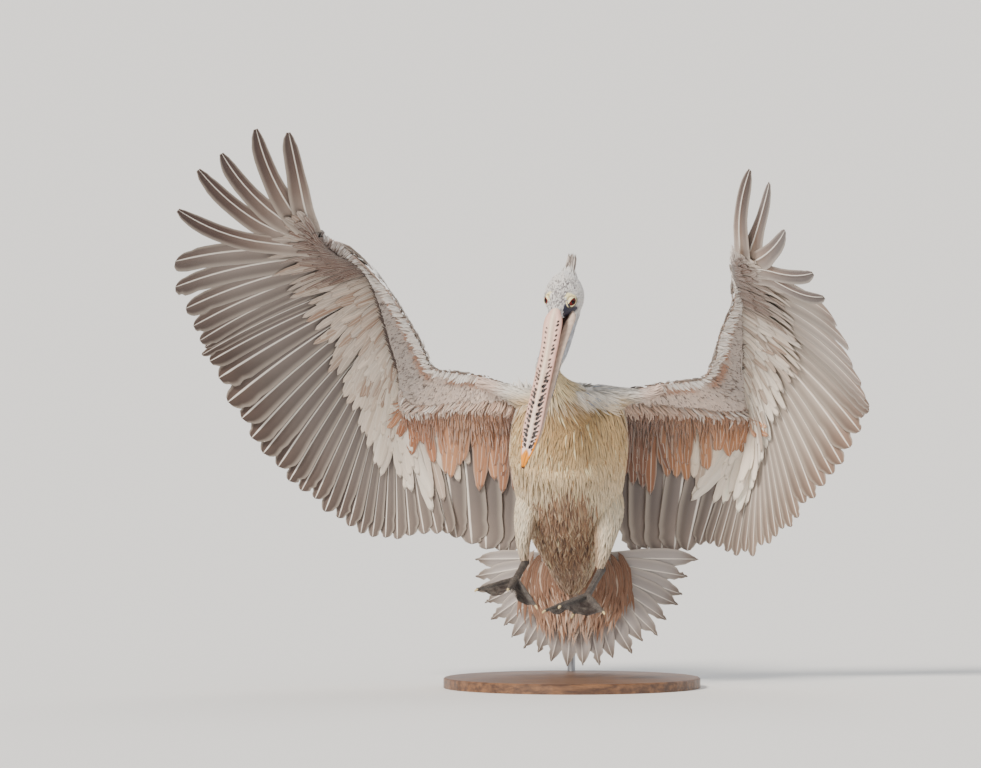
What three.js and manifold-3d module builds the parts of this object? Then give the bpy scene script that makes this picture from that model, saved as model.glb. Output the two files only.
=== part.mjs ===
// A life-size spot-billed pelican, braking to land: body pitched up, neck drawn back,
// bill hanging, wings cupped forward, tail spread and feet let down. It is held by a
// plain stand, a round base and one bent rod that enters the lower back.
// Millimetres, +Z up. The bird faces -Y, so its right wing lies on the -X side.
import * as THREE from "three";
import { mergeVertices } from "three/addons/utils/BufferGeometryUtils.js";
import Module from "manifold-3d";

const wasm = await Module();
wasm.setup();

// ---------------------------------------------------------------------------
// Driving dimensions
// ---------------------------------------------------------------------------
const GAP = 0.3; // clearance between neighbouring pieces
const TOLERANCE = 0.2; // facets of a cut that lie closer than this are joined
const SEAM = 0.05; // half the width of a cut through the wing, in feather spacings

const BASE_RADIUS = 225;
const BASE_THICKNESS = 18;
const BASE_BEVEL = 2;
const ROD_RADIUS = 7;
const ROD_FOOT_Y = 196; // the rod stands behind the tail
const ROD_BEND_Z = 262;
const ROD_END = [0, 92, 352]; // inside the lower back

const EYE_RADIUS = 8;
const TAIL_CENTRE = [8, 138, 224];
const TAIL_REACH_RIGHT = 180; // feathers on the bird's right are bent a little shorter
const TAIL_REACH_LEFT = 204;
const TAIL_FEATHERS = 22;
const TAIL_SPREAD = THREE.MathUtils.degToRad(184);
const TAIL_SLANT = 0.14; // how far back the tip of the fan leans for its length

const TERTIALS = 6;
const SECONDARIES = 22;
const PRIMARIES = 10;
const FINGERS = 5; // the outer primaries that stand apart
const ELBOW = TERTIALS - 0.5;
const WRIST = TERTIALS + SECONDARIES - 0.5;
const LAST_INNER = WRIST + PRIMARIES - FINGERS;
const WING_END = WRIST + PRIMARIES;

// Body stations: centre x, y, z, half width, half depth, from the front end to the back.
const TRUNK = [
  [-2, -90, 518, 34, 16],
  [-2, -80, 506, 82, 54],
  [-3, -64, 480, 98, 80],
  [-5, -36, 434, 105, 97],
  [-6, 0, 376, 101, 96],
  [-5, 34, 322, 90, 84],
  [-3, 68, 270, 70, 66],
  [-1, 98, 224, 48, 46],
  [0, 116, 188, 32, 25],
  [0, 127, 160, 14, 9],
];
const NECK = [
  [-22, -88, 484, 58, 54],
  [-30, -122, 522, 46, 44],
  [-39, -142, 562, 30, 31],
  [-29, -139, 600, 28, 29],
  [-17, -128, 638, 28, 30],
  [-12, -124, 672, 30, 30],
  [-12, -134, 698, 22, 22],
];
const NECK_CUT_Z = 584; // upper and lower neck part in the narrow stretch
const HEAD = [
  [-28, -196, 650, 14, 10],
  [-26, -190, 662, 19, 17],
  [-23, -178, 679, 28, 26],
  [-18, -162, 698, 34, 32],
  [-13, -146, 710, 35, 33],
  [-9, -128, 712, 30, 30],
  [-6, -112, 706, 18, 20],
  [-5, -106, 702, 6, 8],
];
const BILL_UPPER = [
  [-26, -192, 664, 17, 10],
  [-29, -199, 650, 18, 11],
  [-41, -224, 594, 17, 9],
  [-58, -252, 520, 16.5, 7],
  [-72, -276, 456, 17.5, 6.5],
  [-79, -288, 424, 15, 6],
  [-84, -296, 402, 8, 5],
  [-85, -296, 396, 3, 3],
];
const BILL_LOWER = [
  [-24, -178, 656, 17, 8],
  [-27, -186, 642, 17.5, 8],
  [-40, -212, 588, 16.5, 6],
  [-57, -240, 514, 15.5, 5],
  [-71, -264, 450, 15, 4.5],
  [-78, -277, 420, 11, 4],
  [-81, -283, 408, 5, 3],
];
const POUCH = [
  [-15, -160, 664, 15, 8],
  [-20, -160, 640, 19, 15],
  [-32, -188, 588, 17, 15],
  [-48, -217, 524, 13, 11],
  [-60, -239, 476, 8, 6],
  [-66, -250, 450, 4, 3],
];
const CREST = [
  [-8, -124, 728, 11, 10],
  [-6, -118, 744, 8, 7],
  [-2, -112, 757, 4, 4],
  [1, -107, 765, 1, 1],
];
const HEAD_CENTRE = [-16, -152, 692];
const HEAD_SIDE = [0.94, -0.34, 0]; // the head is turned to the bird's right
const EYES = { right: [-44, -164, 686], left: [4, -181, 684] };

const LEGS = {
  right: {
    thigh: [
      [-60, 8, 352, 30, 34],
      [-78, -10, 308, 23, 27],
      [-85, -22, 262, 14, 17],
      [-84, -22, 232, 9, 10],
      [-84, -21, 222, 6, 6],
    ],
    ankle: [-84, -24, 217],
    knuckle: [-99, -86, 193],
    toes: [[-166, -160, 180], [-112, -190, 182], [-64, -146, 151]],
    hallux: [-76, -96, 158],
  },
  left: {
    thigh: [
      [50, 8, 352, 36, 36],
      [61, -8, 308, 30, 30],
      [57, -20, 258, 18, 20],
      [50, -22, 218, 9, 10],
      [49, -21, 208, 6, 6],
    ],
    ankle: [49, -24, 203],
    knuckle: [26, -88, 165],
    toes: [[54, -166, 141], [-22, -188, 152], [-48, -160, 143]],
    hallux: [2, -100, 134],
  },
};
const SHANK_RADIUS = 8;
const TOE_RADIUS = 5;
const WEB_HALF = 1.2;
const WEB_STEPS = 4;

// Wing keys: place in the feather row, then x, y, z. lead is the leading edge, bone the
// arm and hand, tips the feather tips up to the last inner primary, palm the line where
// the outer primaries come apart.
const WINGS = {
  right: {
    lead: [
      [-0.5, -112, -58, 530], [1.5, -152, -44, 547], [4, -208, -28, 556], [5.5, -238, -20, 561],
      [8, -256, -20, 590], [14, -276, -26, 628], [22, -318, -44, 694], [WRIST, -347, -62, 727],
      [LAST_INNER, -400, -116, 779], [WING_END, -459, -198, 818],
    ],
    bone: [
      [-0.5, -84, -20, 500], [2.5, -186, 40, 494], [ELBOW, -284, 108, 488],
      [14, -312, 62, 574], [WRIST, -361, -28, 732],
      [LAST_INNER, -412, -112, 768], [WING_END, -448, -184, 798],
    ],
    tips: [
      [-0.5, -104, 146, 238], [1, -128, 150, 238], [4, -200, 150, 252], [5.5, -224, 136, 262],
      [10, -330, 130, 253], [14, -411, 112, 291], [18, -495, 80, 361], [22, -581, 25, 468],
      [WRIST - 2.5, -636, -25, 570], [WRIST + 0.5, -647, -64, 611], [WRIST + 2.5, -671, -160, 668],
      [WRIST + 4.5, -687, -300, 756], [LAST_INNER, -690, -340, 790],
    ],
    palm: [
      [LAST_INNER - 0.6, -612, -250, 758], [LAST_INNER + 1, -589, -292, 808],
      [LAST_INNER + 2, -560, -306, 838], [LAST_INNER + 3, -524, -304, 852],
      [LAST_INNER + 4, -489, -292, 856], [WING_END, -459, -276, 852],
    ],
    fingers: [[-680, -404, 846], [-644, -438, 916], [-604, -458, 944], [-545, -462, 986], [-489, -458, 980]],
    bulges: [[-4, -8, -10], [-5, -8, -8], [-8, -8, -5], [-8, -8, -3], [1, -8, 0]],
  },
  left: {
    lead: [
      [-0.5, 100, -58, 522], [1.5, 142, -46, 533], [4, 196, -36, 540], [5.5, 226, -32, 546],
      [8, 244, -42, 574], [14, 254, -62, 612], [22, 268, -96, 652], [WRIST, 280, -118, 680],
      [LAST_INNER, 272, -210, 748], [WING_END, 276, -300, 792],
    ],
    bone: [
      [-0.5, 78, -20, 500], [2.5, 196, 34, 488], [ELBOW, 313, 98, 478],
      [14, 306, 40, 546], [WRIST, 297, -88, 682],
      [LAST_INNER, 290, -196, 728], [WING_END, 287, -272, 758],
    ],
    tips: [
      [-0.5, 108, 146, 226], [1, 134, 150, 226], [4, 206, 150, 238], [5.5, 234, 146, 244],
      [10, 305, 130, 226], [14, 360, 110, 258], [18, 410, 78, 314], [22, 474, 16, 390],
      [WRIST - 2.5, 512, -90, 474], [WRIST + 0.5, 506, -214, 520], [WRIST + 2.5, 482, -345, 580],
      [WRIST + 4.5, 448, -476, 660], [LAST_INNER, 440, -500, 682],
    ],
    palm: [
      [LAST_INNER - 0.6, 384, -420, 712], [LAST_INNER + 1, 360, -440, 738],
      [LAST_INNER + 2, 344, -448, 758], [LAST_INNER + 3, 324, -440, 774],
      [LAST_INNER + 4, 302, -420, 782], [WING_END, 280, -396, 780],
    ],
    fingers: [[428, -535, 700], [408, -577, 742], [360, -597, 815], [334, -578, 896], [301, -550, 918]],
    bulges: [[6, -8, -12], [4, -8, -8], [4, -8, -4], [2, -8, 0], [-10, -8, 0]],
  },
};

// Where the points of a wing column lie, as a share of the way between its key lines, and
// their half thickness in millimetres. The share runs 0 to 1 from edge to bone, then to 2.
const COLUMN = [
  { at: 0, half: 2 },
  { at: 1, half: 0, arm: 1 },
  { at: 1.18, half: 3, arm: 0.25 },
  { at: 1.6, half: 2 },
  { at: 2, half: 0.9 },
];
const ARM_HALF = [
  [-0.5, 22], [2.5, 15], [ELBOW, 10], [10, 9], [14, 11], [WRIST, 9], [LAST_INNER, 6], [WING_END, 4],
];
const EDGE_PASS = 0.1; // how far a cut passes the sheet's edges, as a share of its width
const CUT_GROW = 25; // how much thicker a cut is than the sheet
const REACH_ROWS = 3; // feather rows either side over which the lie of the sheet is taken
const CAMBER = 0.05; // arch of the feathers, as a share of their length
const NOTCH = 0.03; // how far tips stand out and notches go in, as a share of their length
const FINGER_WIDTH = 27;
const FINGER_HALF = 1.6;
const FINGER_STEPS = 4;

const COLOURS = {
  trunk: "#b39a74", neck: "#b9bcc0", head: "#a9a7a6", crest: "#6f625a", billUpper: "#c99a8c",
  billLower: "#b98f7e", pouch: "#8d93a3", eye: "#2b1510", thigh: "#cdbfa8", leg: "#4b4644",
  coverts: "#9c6a4d", tail: "#a59d98", wing: "#a08f86", base: "#6b5645", rod: "#b8babd",
};

// ---------------------------------------------------------------------------
// Shared shape functions
// ---------------------------------------------------------------------------
const vec = (p) => new THREE.Vector3(p[0], p[1], p[2]);

// A smooth curve through keyed rows [place, a, b, ...]: cubic pieces whose slope at each
// key is that of the line between its neighbours.
function keyed(rows, place) {
  let k = 0;
  while (k < rows.length - 2 && place > rows[k + 1][0]) {
    k += 1;
  }
  const before = rows[Math.max(k - 1, 0)];
  const from = rows[k];
  const to = rows[k + 1];
  const after = rows[Math.min(k + 2, rows.length - 1)];
  const span = to[0] - from[0];
  const u = THREE.MathUtils.clamp((place - from[0]) / span, 0, 1);
  const value = [];
  for (let c = 1; c < from.length; c += 1) {
    const slopeFrom = ((to[c] - before[c]) / (to[0] - before[0])) * span;
    const slopeTo = ((after[c] - from[c]) / (after[0] - from[0])) * span;
    const h1 = (1 + 2 * u) * (1 - u) ** 2;
    const h2 = u * (1 - u) ** 2;
    const h3 = u * u * (3 - 2 * u);
    const h4 = u * u * (u - 1);
    value.push(h1 * from[c] + h2 * slopeFrom + h3 * to[c] + h4 * slopeTo);
  }
  return value;
}

// Closes a stack of rings, each a list of an even number of points, and turns the faces
// outward. Each end is closed by strips between the ring's first half and its second.
function closeRings(rings) {
  const sides = rings[0].length;
  const points = rings.flat();
  const faces = [];
  for (let r = 0; r < rings.length - 1; r += 1) {
    for (let s = 0; s < sides; s += 1) {
      const a = r * sides + s;
      const b = r * sides + ((s + 1) % sides);
      faces.push([a, b, b + sides], [a, b + sides, a + sides]);
    }
  }
  const last = (rings.length - 1) * sides;
  for (let s = 0; s < sides / 2 - 1; s += 1) {
    const [a, b, c, d] = [s, s + 1, sides - 2 - s, sides - 1 - s];
    faces.push([a, c, b], [last + a, last + b, last + c]);
    if (c !== d) {
      faces.push([a, d, c], [last + a, last + c, last + d]);
    }
  }
  let volume = 0;
  for (const [a, b, c] of faces) {
    volume += points[a].dot(new THREE.Vector3().crossVectors(points[b], points[c]));
  }
  const index = faces.map(([a, b, c]) => (volume < 0 ? [a, c, b] : [a, b, c])).flat();
  const mesh = new wasm.Mesh({
    numProp: 3,
    vertProperties: Float32Array.from(points.flatMap((p) => [p.x, p.y, p.z])),
    triVerts: Uint32Array.from(index),
  });
  return new wasm.Manifold(mesh);
}

// A body of oval sections along stations [x, y, z, half width, half depth]. side is the
// direction that the widths are measured in, grow is added to every half size.
function sweep(stations, sides, steps, grow = 0, side = [1, 0, 0]) {
  const rows = stations.map((row, k) => [k, ...row]);
  const rings = [];
  const along = (place) => vec(keyed(rows, place));
  for (let r = 0; r <= steps; r += 1) {
    const place = ((rows.length - 1) * r) / steps;
    const [x, y, z, width, depth] = keyed(rows, place);
    const tangent = along(Math.min(place + 0.05, rows.length - 1)).sub(along(Math.max(place - 0.05, 0)));
    tangent.normalize();
    const across = vec(side);
    across.addScaledVector(tangent, -across.dot(tangent)).normalize();
    const up = new THREE.Vector3().crossVectors(tangent, across);
    const end = r === 0 ? -grow : grow * Number(r === steps);
    const ring = [];
    for (let s = 0; s < sides; s += 1) {
      const angle = (2 * Math.PI * s) / sides;
      const point = new THREE.Vector3(x, y, z);
      point.addScaledVector(across, (width + grow) * Math.cos(angle));
      point.addScaledVector(up, (depth + grow) * Math.sin(angle));
      point.addScaledVector(tangent, end);
      ring.push(point);
    }
    rings.push(ring);
  }
  return closeRings(rings);
}

// The solid of a three.js geometry.
function solidOf(geometry) {
  geometry.deleteAttribute("normal");
  geometry.deleteAttribute("uv");
  const merged = mergeVertices(geometry, 1e-3);
  const mesh = new wasm.Mesh({
    numProp: 3,
    vertProperties: Float32Array.from(merged.attributes.position.array),
    triVerts: Uint32Array.from(merged.index.array),
  });
  return new wasm.Manifold(mesh);
}

// The largest piece that a cut leaves.
function largest(solid) {
  return solid.decompose().reduce((best, piece) => (piece.volume() > best.volume() ? piece : best));
}

// A rounded solid made a little larger about a point inside it.
function swollen(solid, centre, share) {
  return solid.translate(centre.map((c) => -c)).scale(1 + share).translate(centre);
}

const group = new THREE.Group();

function addPart(name, solid, colour, roughness = 0.8, metalness = 0) {
  const cut = largest(solid.simplify(TOLERANCE)).getMesh();
  const geometry = new THREE.BufferGeometry();
  geometry.setAttribute("position", new THREE.BufferAttribute(Float32Array.from(cut.vertProperties), 3));
  geometry.setIndex(new THREE.BufferAttribute(Uint32Array.from(cut.triVerts), 1));
  geometry.computeVertexNormals();
  const material = new THREE.MeshStandardMaterial({ color: colour, roughness, metalness });
  const mesh = new THREE.Mesh(geometry, material);
  mesh.name = name;
  group.add(mesh);
}

// ---------------------------------------------------------------------------
// Stand: a round base with a softened rim, and a rod that rises behind the tail and bends
// forward into the lower back.
// ---------------------------------------------------------------------------
function makeBase() {
  const profile = [
    [0, 0], [BASE_RADIUS, 0], [BASE_RADIUS, BASE_THICKNESS - BASE_BEVEL],
    [BASE_RADIUS - BASE_BEVEL, BASE_THICKNESS], [0, BASE_THICKNESS],
  ];
  const turned = new THREE.LatheGeometry(profile.map(([r, z]) => new THREE.Vector2(r, z)), 40);
  turned.rotateX(Math.PI / 2);
  return solidOf(turned);
}

function makeRod(grow) {
  const radius = ROD_RADIUS + grow;
  const section = new THREE.Shape();
  section.absarc(0, 0, radius, 0, 2 * Math.PI, false);
  const path = new THREE.CurvePath();
  const foot = new THREE.Vector3(0, ROD_FOOT_Y, BASE_THICKNESS + GAP - grow);
  const bend = new THREE.Vector3(0, ROD_FOOT_Y, ROD_BEND_Z);
  const end = vec(ROD_END);
  const reach = end.clone().sub(bend).normalize();
  const knee = bend.clone().addScaledVector(reach, 34);
  path.add(new THREE.LineCurve3(foot, new THREE.Vector3(0, ROD_FOOT_Y, ROD_BEND_Z - 34)));
  path.add(new THREE.QuadraticBezierCurve3(new THREE.Vector3(0, ROD_FOOT_Y, ROD_BEND_Z - 34), bend, knee));
  path.add(new THREE.LineCurve3(knee, end.addScaledVector(reach, grow)));
  const steps = 14;
  return solidOf(new THREE.ExtrudeGeometry(section, { steps, curveSegments: 6, extrudePath: path }));
}

// ---------------------------------------------------------------------------
// Wings
// ---------------------------------------------------------------------------
// One closed sheet of the wing between two places in the feather row. Every feather gives
// a column at its tip and one at the notch beside it. grow thickens the sheet, and lets it
// pass its own edges, for a cut through it.
function wingSheet(wing, mirror, from, to, outline, { notch = 0, camber = 0, columns = 1, grow = 0 }) {
  const along = (rows, place) => vec(keyed(rows, place));
  const middle = (place, at) => {
    const bone = along(wing.bone, place);
    if (at <= 1) {
      return along(wing.lead, place).lerp(bone, at);
    }
    const tip = along(outline, place);
    const isNotch = Math.abs(place - Math.round(place)) > 0.25;
    return bone.lerp(tip, (at - 1) * (isNotch ? 1 - notch : 1 + notch));
  };
  const places = [from];
  for (let step = Math.ceil(columns * from + 0.2); step < columns * to - 0.2; step += 1) {
    places.push(step / columns);
  }
  places.push(to);
  const rings = places.map((place) => {
    const dorsal = (at) => {
      const out = middle(place + REACH_ROWS, at).sub(middle(place - REACH_ROWS, at));
      const back = middle(place, Math.min(at + 0.35, 2)).sub(middle(place, Math.max(at - 0.35, 0)));
      return out.cross(back).normalize().multiplyScalar(-mirror);
    };
    const length = along(wing.bone, place).distanceTo(along(outline, place));
    const arm = keyed(ARM_HALF, place)[0];
    const upper = [];
    const lower = [];
    for (const row of COLUMN) {
      const at = row.at + Math.sign(grow) * EDGE_PASS * (row.at - 1);
      const share = Math.max(row.at - 1, 0);
      const up = dorsal(row.at);
      const point = middle(place, at).addScaledVector(up, 4 * camber * length * share * (1 - share));
      const half = row.half + arm * (row.arm ?? 0) + grow;
      upper.push(point.clone().addScaledVector(up, half));
      lower.push(point.clone().addScaledVector(up, -half));
    }
    return [...upper, ...lower.reverse()];
  });
  return closeRings(rings);
}

// One outer primary: a flat blade that bends up at its tip, full at the root, narrow past
// the notch in its vane, rounded at the end.
function fingerBlade(root, tip, beside, bulge) {
  const run = tip.clone().sub(root);
  const across = beside.clone();
  across.addScaledVector(run, -across.dot(run) / run.lengthSq()).normalize();
  const rings = [];
  for (let k = 0; k <= FINGER_STEPS; k += 1) {
    const u = k / FINGER_STEPS;
    const round = Math.sqrt(Math.max(1 - Math.max((u - 0.8) / 0.2, 0) ** 2, 0.03));
    const half = 0.5 * FINGER_WIDTH * (1 - 0.25 * THREE.MathUtils.smoothstep(u, 0.35, 0.6)) * round;
    const centre = root.clone().addScaledVector(run, u).addScaledVector(bulge, 4 * u * (1 - u));
    const tangent = run.clone().addScaledVector(bulge, 4 - 8 * u).normalize();
    const up = new THREE.Vector3().crossVectors(tangent, across).normalize();
    const thick = FINGER_HALF * (1 - 0.5 * u);
    const corner = (side, lift) => centre.clone().addScaledVector(across, side * half).addScaledVector(up, lift);
    rings.push([
      corner(-1, -0.4 * thick), corner(0, -thick), corner(1, -0.4 * thick),
      corner(1, 0.4 * thick), corner(0, thick), corner(-1, 0.4 * thick),
    ]);
  }
  return closeRings(rings);
}

// The wing from the shoulder to the last inner primary, parted at the elbow and the wrist.
function innerWing(wing, mirror) {
  const style = { notch: NOTCH, camber: CAMBER, columns: 2 };
  let sheet = wingSheet(wing, mirror, -0.5, LAST_INNER, wing.tips, style);
  for (const joint of [ELBOW, WRIST]) {
    const cut = wingSheet(wing, mirror, joint - SEAM, joint + SEAM, wing.tips, { ...style, grow: CUT_GROW });
    sheet = sheet.subtract(cut);
  }
  const pieces = sheet.decompose().sort((a, b) => b.volume() - a.volume()).slice(0, 3);
  return pieces.sort((a, b) => a.boundingBox().max[2] - b.boundingBox().max[2]);
}

function addFingers(inner, wing, mirror) {
  let hand = inner.add(wingSheet(wing, mirror, LAST_INNER - 0.1, WING_END, wing.palm, {}));
  const tips = wing.fingers.map(vec);
  tips.forEach((tip, k) => {
    const place = LAST_INNER + 0.5 + k;
    const bone = vec(keyed(wing.bone, place));
    const root = bone.lerp(vec(keyed(wing.palm, place)), 0.6);
    const beside = tips[Math.min(k + 1, FINGERS - 1)].clone().sub(tips[Math.max(k - 1, 0)]);
    hand = hand.add(fingerBlade(root, tip, beside, vec(wing.bulges[k])));
  });
  const thumb = vec(keyed(wing.lead, WRIST + 3));
  const thumbTip = vec(keyed(wing.lead, WRIST + 7));
  const wide = vec(wing.bone[wing.bone.length - 1].slice(1)).sub(vec(wing.lead[wing.lead.length - 1].slice(1)));
  return hand.add(fingerBlade(thumb, thumbTip, wide, new THREE.Vector3()));
}

// ---------------------------------------------------------------------------
// Legs and feet
// ---------------------------------------------------------------------------
function taper(from, to, start, end, sides = 6, steps = 2) {
  const stations = [];
  for (let k = 0; k <= 3; k += 1) {
    const u = k / 3;
    const point = vec(from).lerp(vec(to), u);
    const radius = start + (end - start) * u;
    stations.push([point.x, point.y, point.z, radius, radius]);
  }
  const run = vec(to).sub(vec(from));
  const side = Math.abs(run.x) > 0.7 * run.length() ? [0, 1, 0] : [1, 0, 0];
  return sweep(stations, sides, steps, 0, side);
}

// The web between two toes: a thin sheet that sags a little and has a hollow front edge.
function web(knuckle, first, second, sag) {
  const rings = [];
  for (let k = 0; k <= WEB_STEPS; k += 1) {
    const v = k / WEB_STEPS;
    const edge = vec(first).lerp(vec(second), v).sub(vec(knuckle));
    const bow = Math.sin(Math.PI * v);
    const upper = [];
    const lower = [];
    for (const u of [0.04, 0.5, 0.98]) {
      const point = vec(knuckle).addScaledVector(edge, u * (1 - 0.12 * bow));
      point.z -= sag * bow * u;
      upper.push(point.clone().add(new THREE.Vector3(0, 0, WEB_HALF)));
      lower.push(point.clone().add(new THREE.Vector3(0, 0, -WEB_HALF)));
    }
    rings.push([...upper, ...lower.reverse()]);
  }
  return closeRings(rings);
}

function makeFoot(leg) {
  const [outer, middle, inner] = leg.toes;
  let foot = taper(leg.ankle, leg.knuckle, SHANK_RADIUS, SHANK_RADIUS - 1.5);
  for (const toe of [...leg.toes, leg.hallux]) {
    foot = foot.add(taper(leg.knuckle, toe, TOE_RADIUS + 1, 1.6));
  }
  foot = foot.add(web(leg.knuckle, outer, middle, 14));
  foot = foot.add(web(leg.knuckle, middle, inner, 14));
  return foot.add(web(leg.knuckle, inner, leg.hallux, 4));
}

// ---------------------------------------------------------------------------
// Tail: a fan of feathers, and the long coverts that lie on its front
// ---------------------------------------------------------------------------
function fanPoint(angle, radius, forward) {
  const reach = radius * Math.cos(angle);
  const x = TAIL_CENTRE[0] + radius * Math.sin(angle);
  return new THREE.Vector3(x, TAIL_CENTRE[1] + TAIL_SLANT * reach - forward, TAIL_CENTRE[2] - reach);
}

function fanSheet(halfSpread, columns, radiusAt, halfAt, forward) {
  const rings = [];
  for (let k = 0; k <= columns; k += 1) {
    const share = (2 * k) / columns - 1;
    const angle = share * halfSpread;
    const front = [];
    const back = [];
    for (const u of [0, 0.6, 1]) {
      const radius = 12 + (radiusAt(share, k) - 12) * u;
      front.push(fanPoint(angle, radius, forward + halfAt(u, share)));
      back.push(fanPoint(angle, radius, forward - halfAt(u, share)));
    }
    rings.push([...front, ...back.reverse()]);
  }
  return closeRings(rings);
}

function makeTail() {
  const reach = (share) => THREE.MathUtils.lerp(TAIL_REACH_RIGHT, TAIL_REACH_LEFT, 0.5 + 0.5 * share);
  const radiusAt = (share, k) => reach(share) * (k % 2 === 0 ? 0.93 : 1);
  const halfAt = (u) => 4.5 - 3.4 * u;
  return fanSheet(TAIL_SPREAD / 2, 2 * TAIL_FEATHERS, radiusAt, halfAt, 0);
}

function makeCoverts(grow = 0) {
  const radiusAt = (share) => 156 - 52 * share * share + grow;
  const halfAt = (u, share) => (12 - 8 * u) * (1 - 0.5 * share * share) + grow;
  return fanSheet(THREE.MathUtils.degToRad(56), 10, radiusAt, halfAt, 12);
}

// ---------------------------------------------------------------------------
// The bird, part by part
// ---------------------------------------------------------------------------
const trunkClear = sweep(TRUNK, 20, 12, GAP);
const trunk = sweep(TRUNK, 20, 12).subtract(makeRod(GAP));
const coverts = makeCoverts().subtract(trunkClear);
const tail = makeTail().subtract(trunkClear).subtract(makeCoverts(GAP));

addPart("stand_base", makeBase(), COLOURS.base, 0.5);
addPart("stand_rod", makeRod(0), COLOURS.rod, 0.3, 1);
addPart("trunk", trunk, COLOURS.trunk);
addPart("tail", tail, COLOURS.tail);
addPart("undertail_coverts", coverts, COLOURS.coverts);

const headClear = swollen(sweep(HEAD, 14, 9, 0, HEAD_SIDE), HEAD_CENTRE, 0.025);
const upperClear = sweep(BILL_UPPER, 10, 12, GAP, HEAD_SIDE);
const lowerClear = sweep(BILL_LOWER, 10, 11, GAP, HEAD_SIDE);
const pouchClear = sweep(POUCH, 10, 9, GAP, HEAD_SIDE);
const neck = sweep(NECK, 14, 10).subtract(trunkClear).subtract(headClear).subtract(pouchClear);
addPart("neck_upper", neck.trimByPlane([0, 0, 1], NECK_CUT_Z + GAP / 2), COLOURS.neck);
addPart("neck_lower", neck.trimByPlane([0, 0, -1], -NECK_CUT_Z + GAP / 2), COLOURS.neck);

let head = sweep(HEAD, 14, 9, 0, HEAD_SIDE);
for (const [side, centre] of Object.entries(EYES)) {
  const ball = new THREE.SphereGeometry(EYE_RADIUS, 12, 7).translate(...centre);
  const socket = new THREE.SphereGeometry(EYE_RADIUS + GAP, 12, 7).translate(...centre);
  head = head.subtract(solidOf(socket));
  addPart(`eye_${side}`, solidOf(ball), COLOURS.eye, 0.1);
}
addPart("head", head.subtract(upperClear).subtract(lowerClear), COLOURS.head);
addPart("crest", sweep(CREST, 8, 5).subtract(headClear), COLOURS.crest);
addPart("bill_upper", sweep(BILL_UPPER, 10, 12, 0, HEAD_SIDE), COLOURS.billUpper, 0.45);
const lower = sweep(BILL_LOWER, 10, 11, 0, HEAD_SIDE).subtract(upperClear);
addPart("bill_lower", lower, COLOURS.billLower, 0.5);
const pouch = sweep(POUCH, 10, 9, 0, HEAD_SIDE).subtract(upperClear).subtract(lowerClear).subtract(headClear);
addPart("bill_pouch", pouch, COLOURS.pouch, 0.6);

for (const [side, leg] of Object.entries(LEGS)) {
  const foot = makeFoot(leg);
  addPart(`thigh_${side}`, sweep(leg.thigh, 12, 7).subtract(trunkClear), COLOURS.thigh);
  addPart(`foot_${side}`, foot.subtract(sweep(leg.thigh, 12, 7, GAP)), COLOURS.leg, 0.6);
}

for (const [side, wing] of Object.entries(WINGS)) {
  const mirror = side === "right" ? 1 : -1;
  const body = trunkClear.add(sweep(LEGS[side].thigh, 18, 10, GAP));
  const [arm, forearm, hand] = innerWing(wing, mirror);
  addPart(`wing_${side}_arm`, arm.subtract(body), COLOURS.wing);
  const palm = addFingers(hand, wing, mirror);
  addPart(`wing_${side}_forearm`, forearm.subtract(palm), COLOURS.wing);
  addPart(`wing_${side}_hand`, palm, COLOURS.wing);
}

export default group;
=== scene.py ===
# A life-size pelican braking to land, held over a round base by one bent rod. One skin covers
# the flesh, and every feather is laid over it as a thin solid vane. Sizes are in millimetres
# until a mesh is put together, which is where they become metres. The bird faces -Y.
import math

import bpy
import numpy as np
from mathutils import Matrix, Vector


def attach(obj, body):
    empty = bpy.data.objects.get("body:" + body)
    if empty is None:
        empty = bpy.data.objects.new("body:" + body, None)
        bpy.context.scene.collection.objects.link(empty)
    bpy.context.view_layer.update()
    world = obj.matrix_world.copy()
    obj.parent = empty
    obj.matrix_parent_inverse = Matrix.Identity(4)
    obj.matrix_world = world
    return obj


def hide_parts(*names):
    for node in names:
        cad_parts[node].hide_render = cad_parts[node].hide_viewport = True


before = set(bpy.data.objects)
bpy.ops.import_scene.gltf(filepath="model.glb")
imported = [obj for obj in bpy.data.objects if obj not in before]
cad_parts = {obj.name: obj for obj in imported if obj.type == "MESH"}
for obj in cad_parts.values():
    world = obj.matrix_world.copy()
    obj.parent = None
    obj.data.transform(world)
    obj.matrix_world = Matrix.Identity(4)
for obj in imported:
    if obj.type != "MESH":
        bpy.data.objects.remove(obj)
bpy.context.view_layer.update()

# Studio: a pale floor that runs on past the picture, a broad soft sun from the front and the
# bird's right, a weak one from behind for the edges, and even light from all round.
FLOOR_HALF = 300.0
AIM = Vector((-0.1426, 0.0, 0.532))
CAMERA_AWAY = 25.0
CAMERA_RISE = math.radians(2.0)
LENS = 524.25


def into_scene(made):
    """Links an object into the scene."""
    bpy.context.scene.collection.objects.link(made)
    return made


floor_mesh = bpy.data.meshes.new("studio_floor")
floor_mesh.from_pydata(
    [(-FLOOR_HALF, -FLOOR_HALF, 0), (FLOOR_HALF, -FLOOR_HALF, 0),
     (FLOOR_HALF, FLOOR_HALF, 0), (-FLOOR_HALF, FLOOR_HALF, 0)],
    [], [(0, 1, 2, 3)],
)
floor = into_scene(bpy.data.objects.new("studio_floor", floor_mesh))


def lamp(name, strength, colour, spread, turn, rise):
    """A sun whose light comes from turn degrees round from the front and rise degrees up."""
    data = bpy.data.lights.new(name, "SUN")
    data.energy = strength
    data.color = colour
    data.angle = math.radians(spread)
    a, e = math.radians(turn), math.radians(rise)
    away = Vector((math.sin(a) * math.cos(e), -math.cos(a) * math.cos(e), math.sin(e)))
    sun = into_scene(bpy.data.objects.new(name, data))
    sun.rotation_euler = away.to_track_quat("Z", "Y").to_euler()


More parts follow.
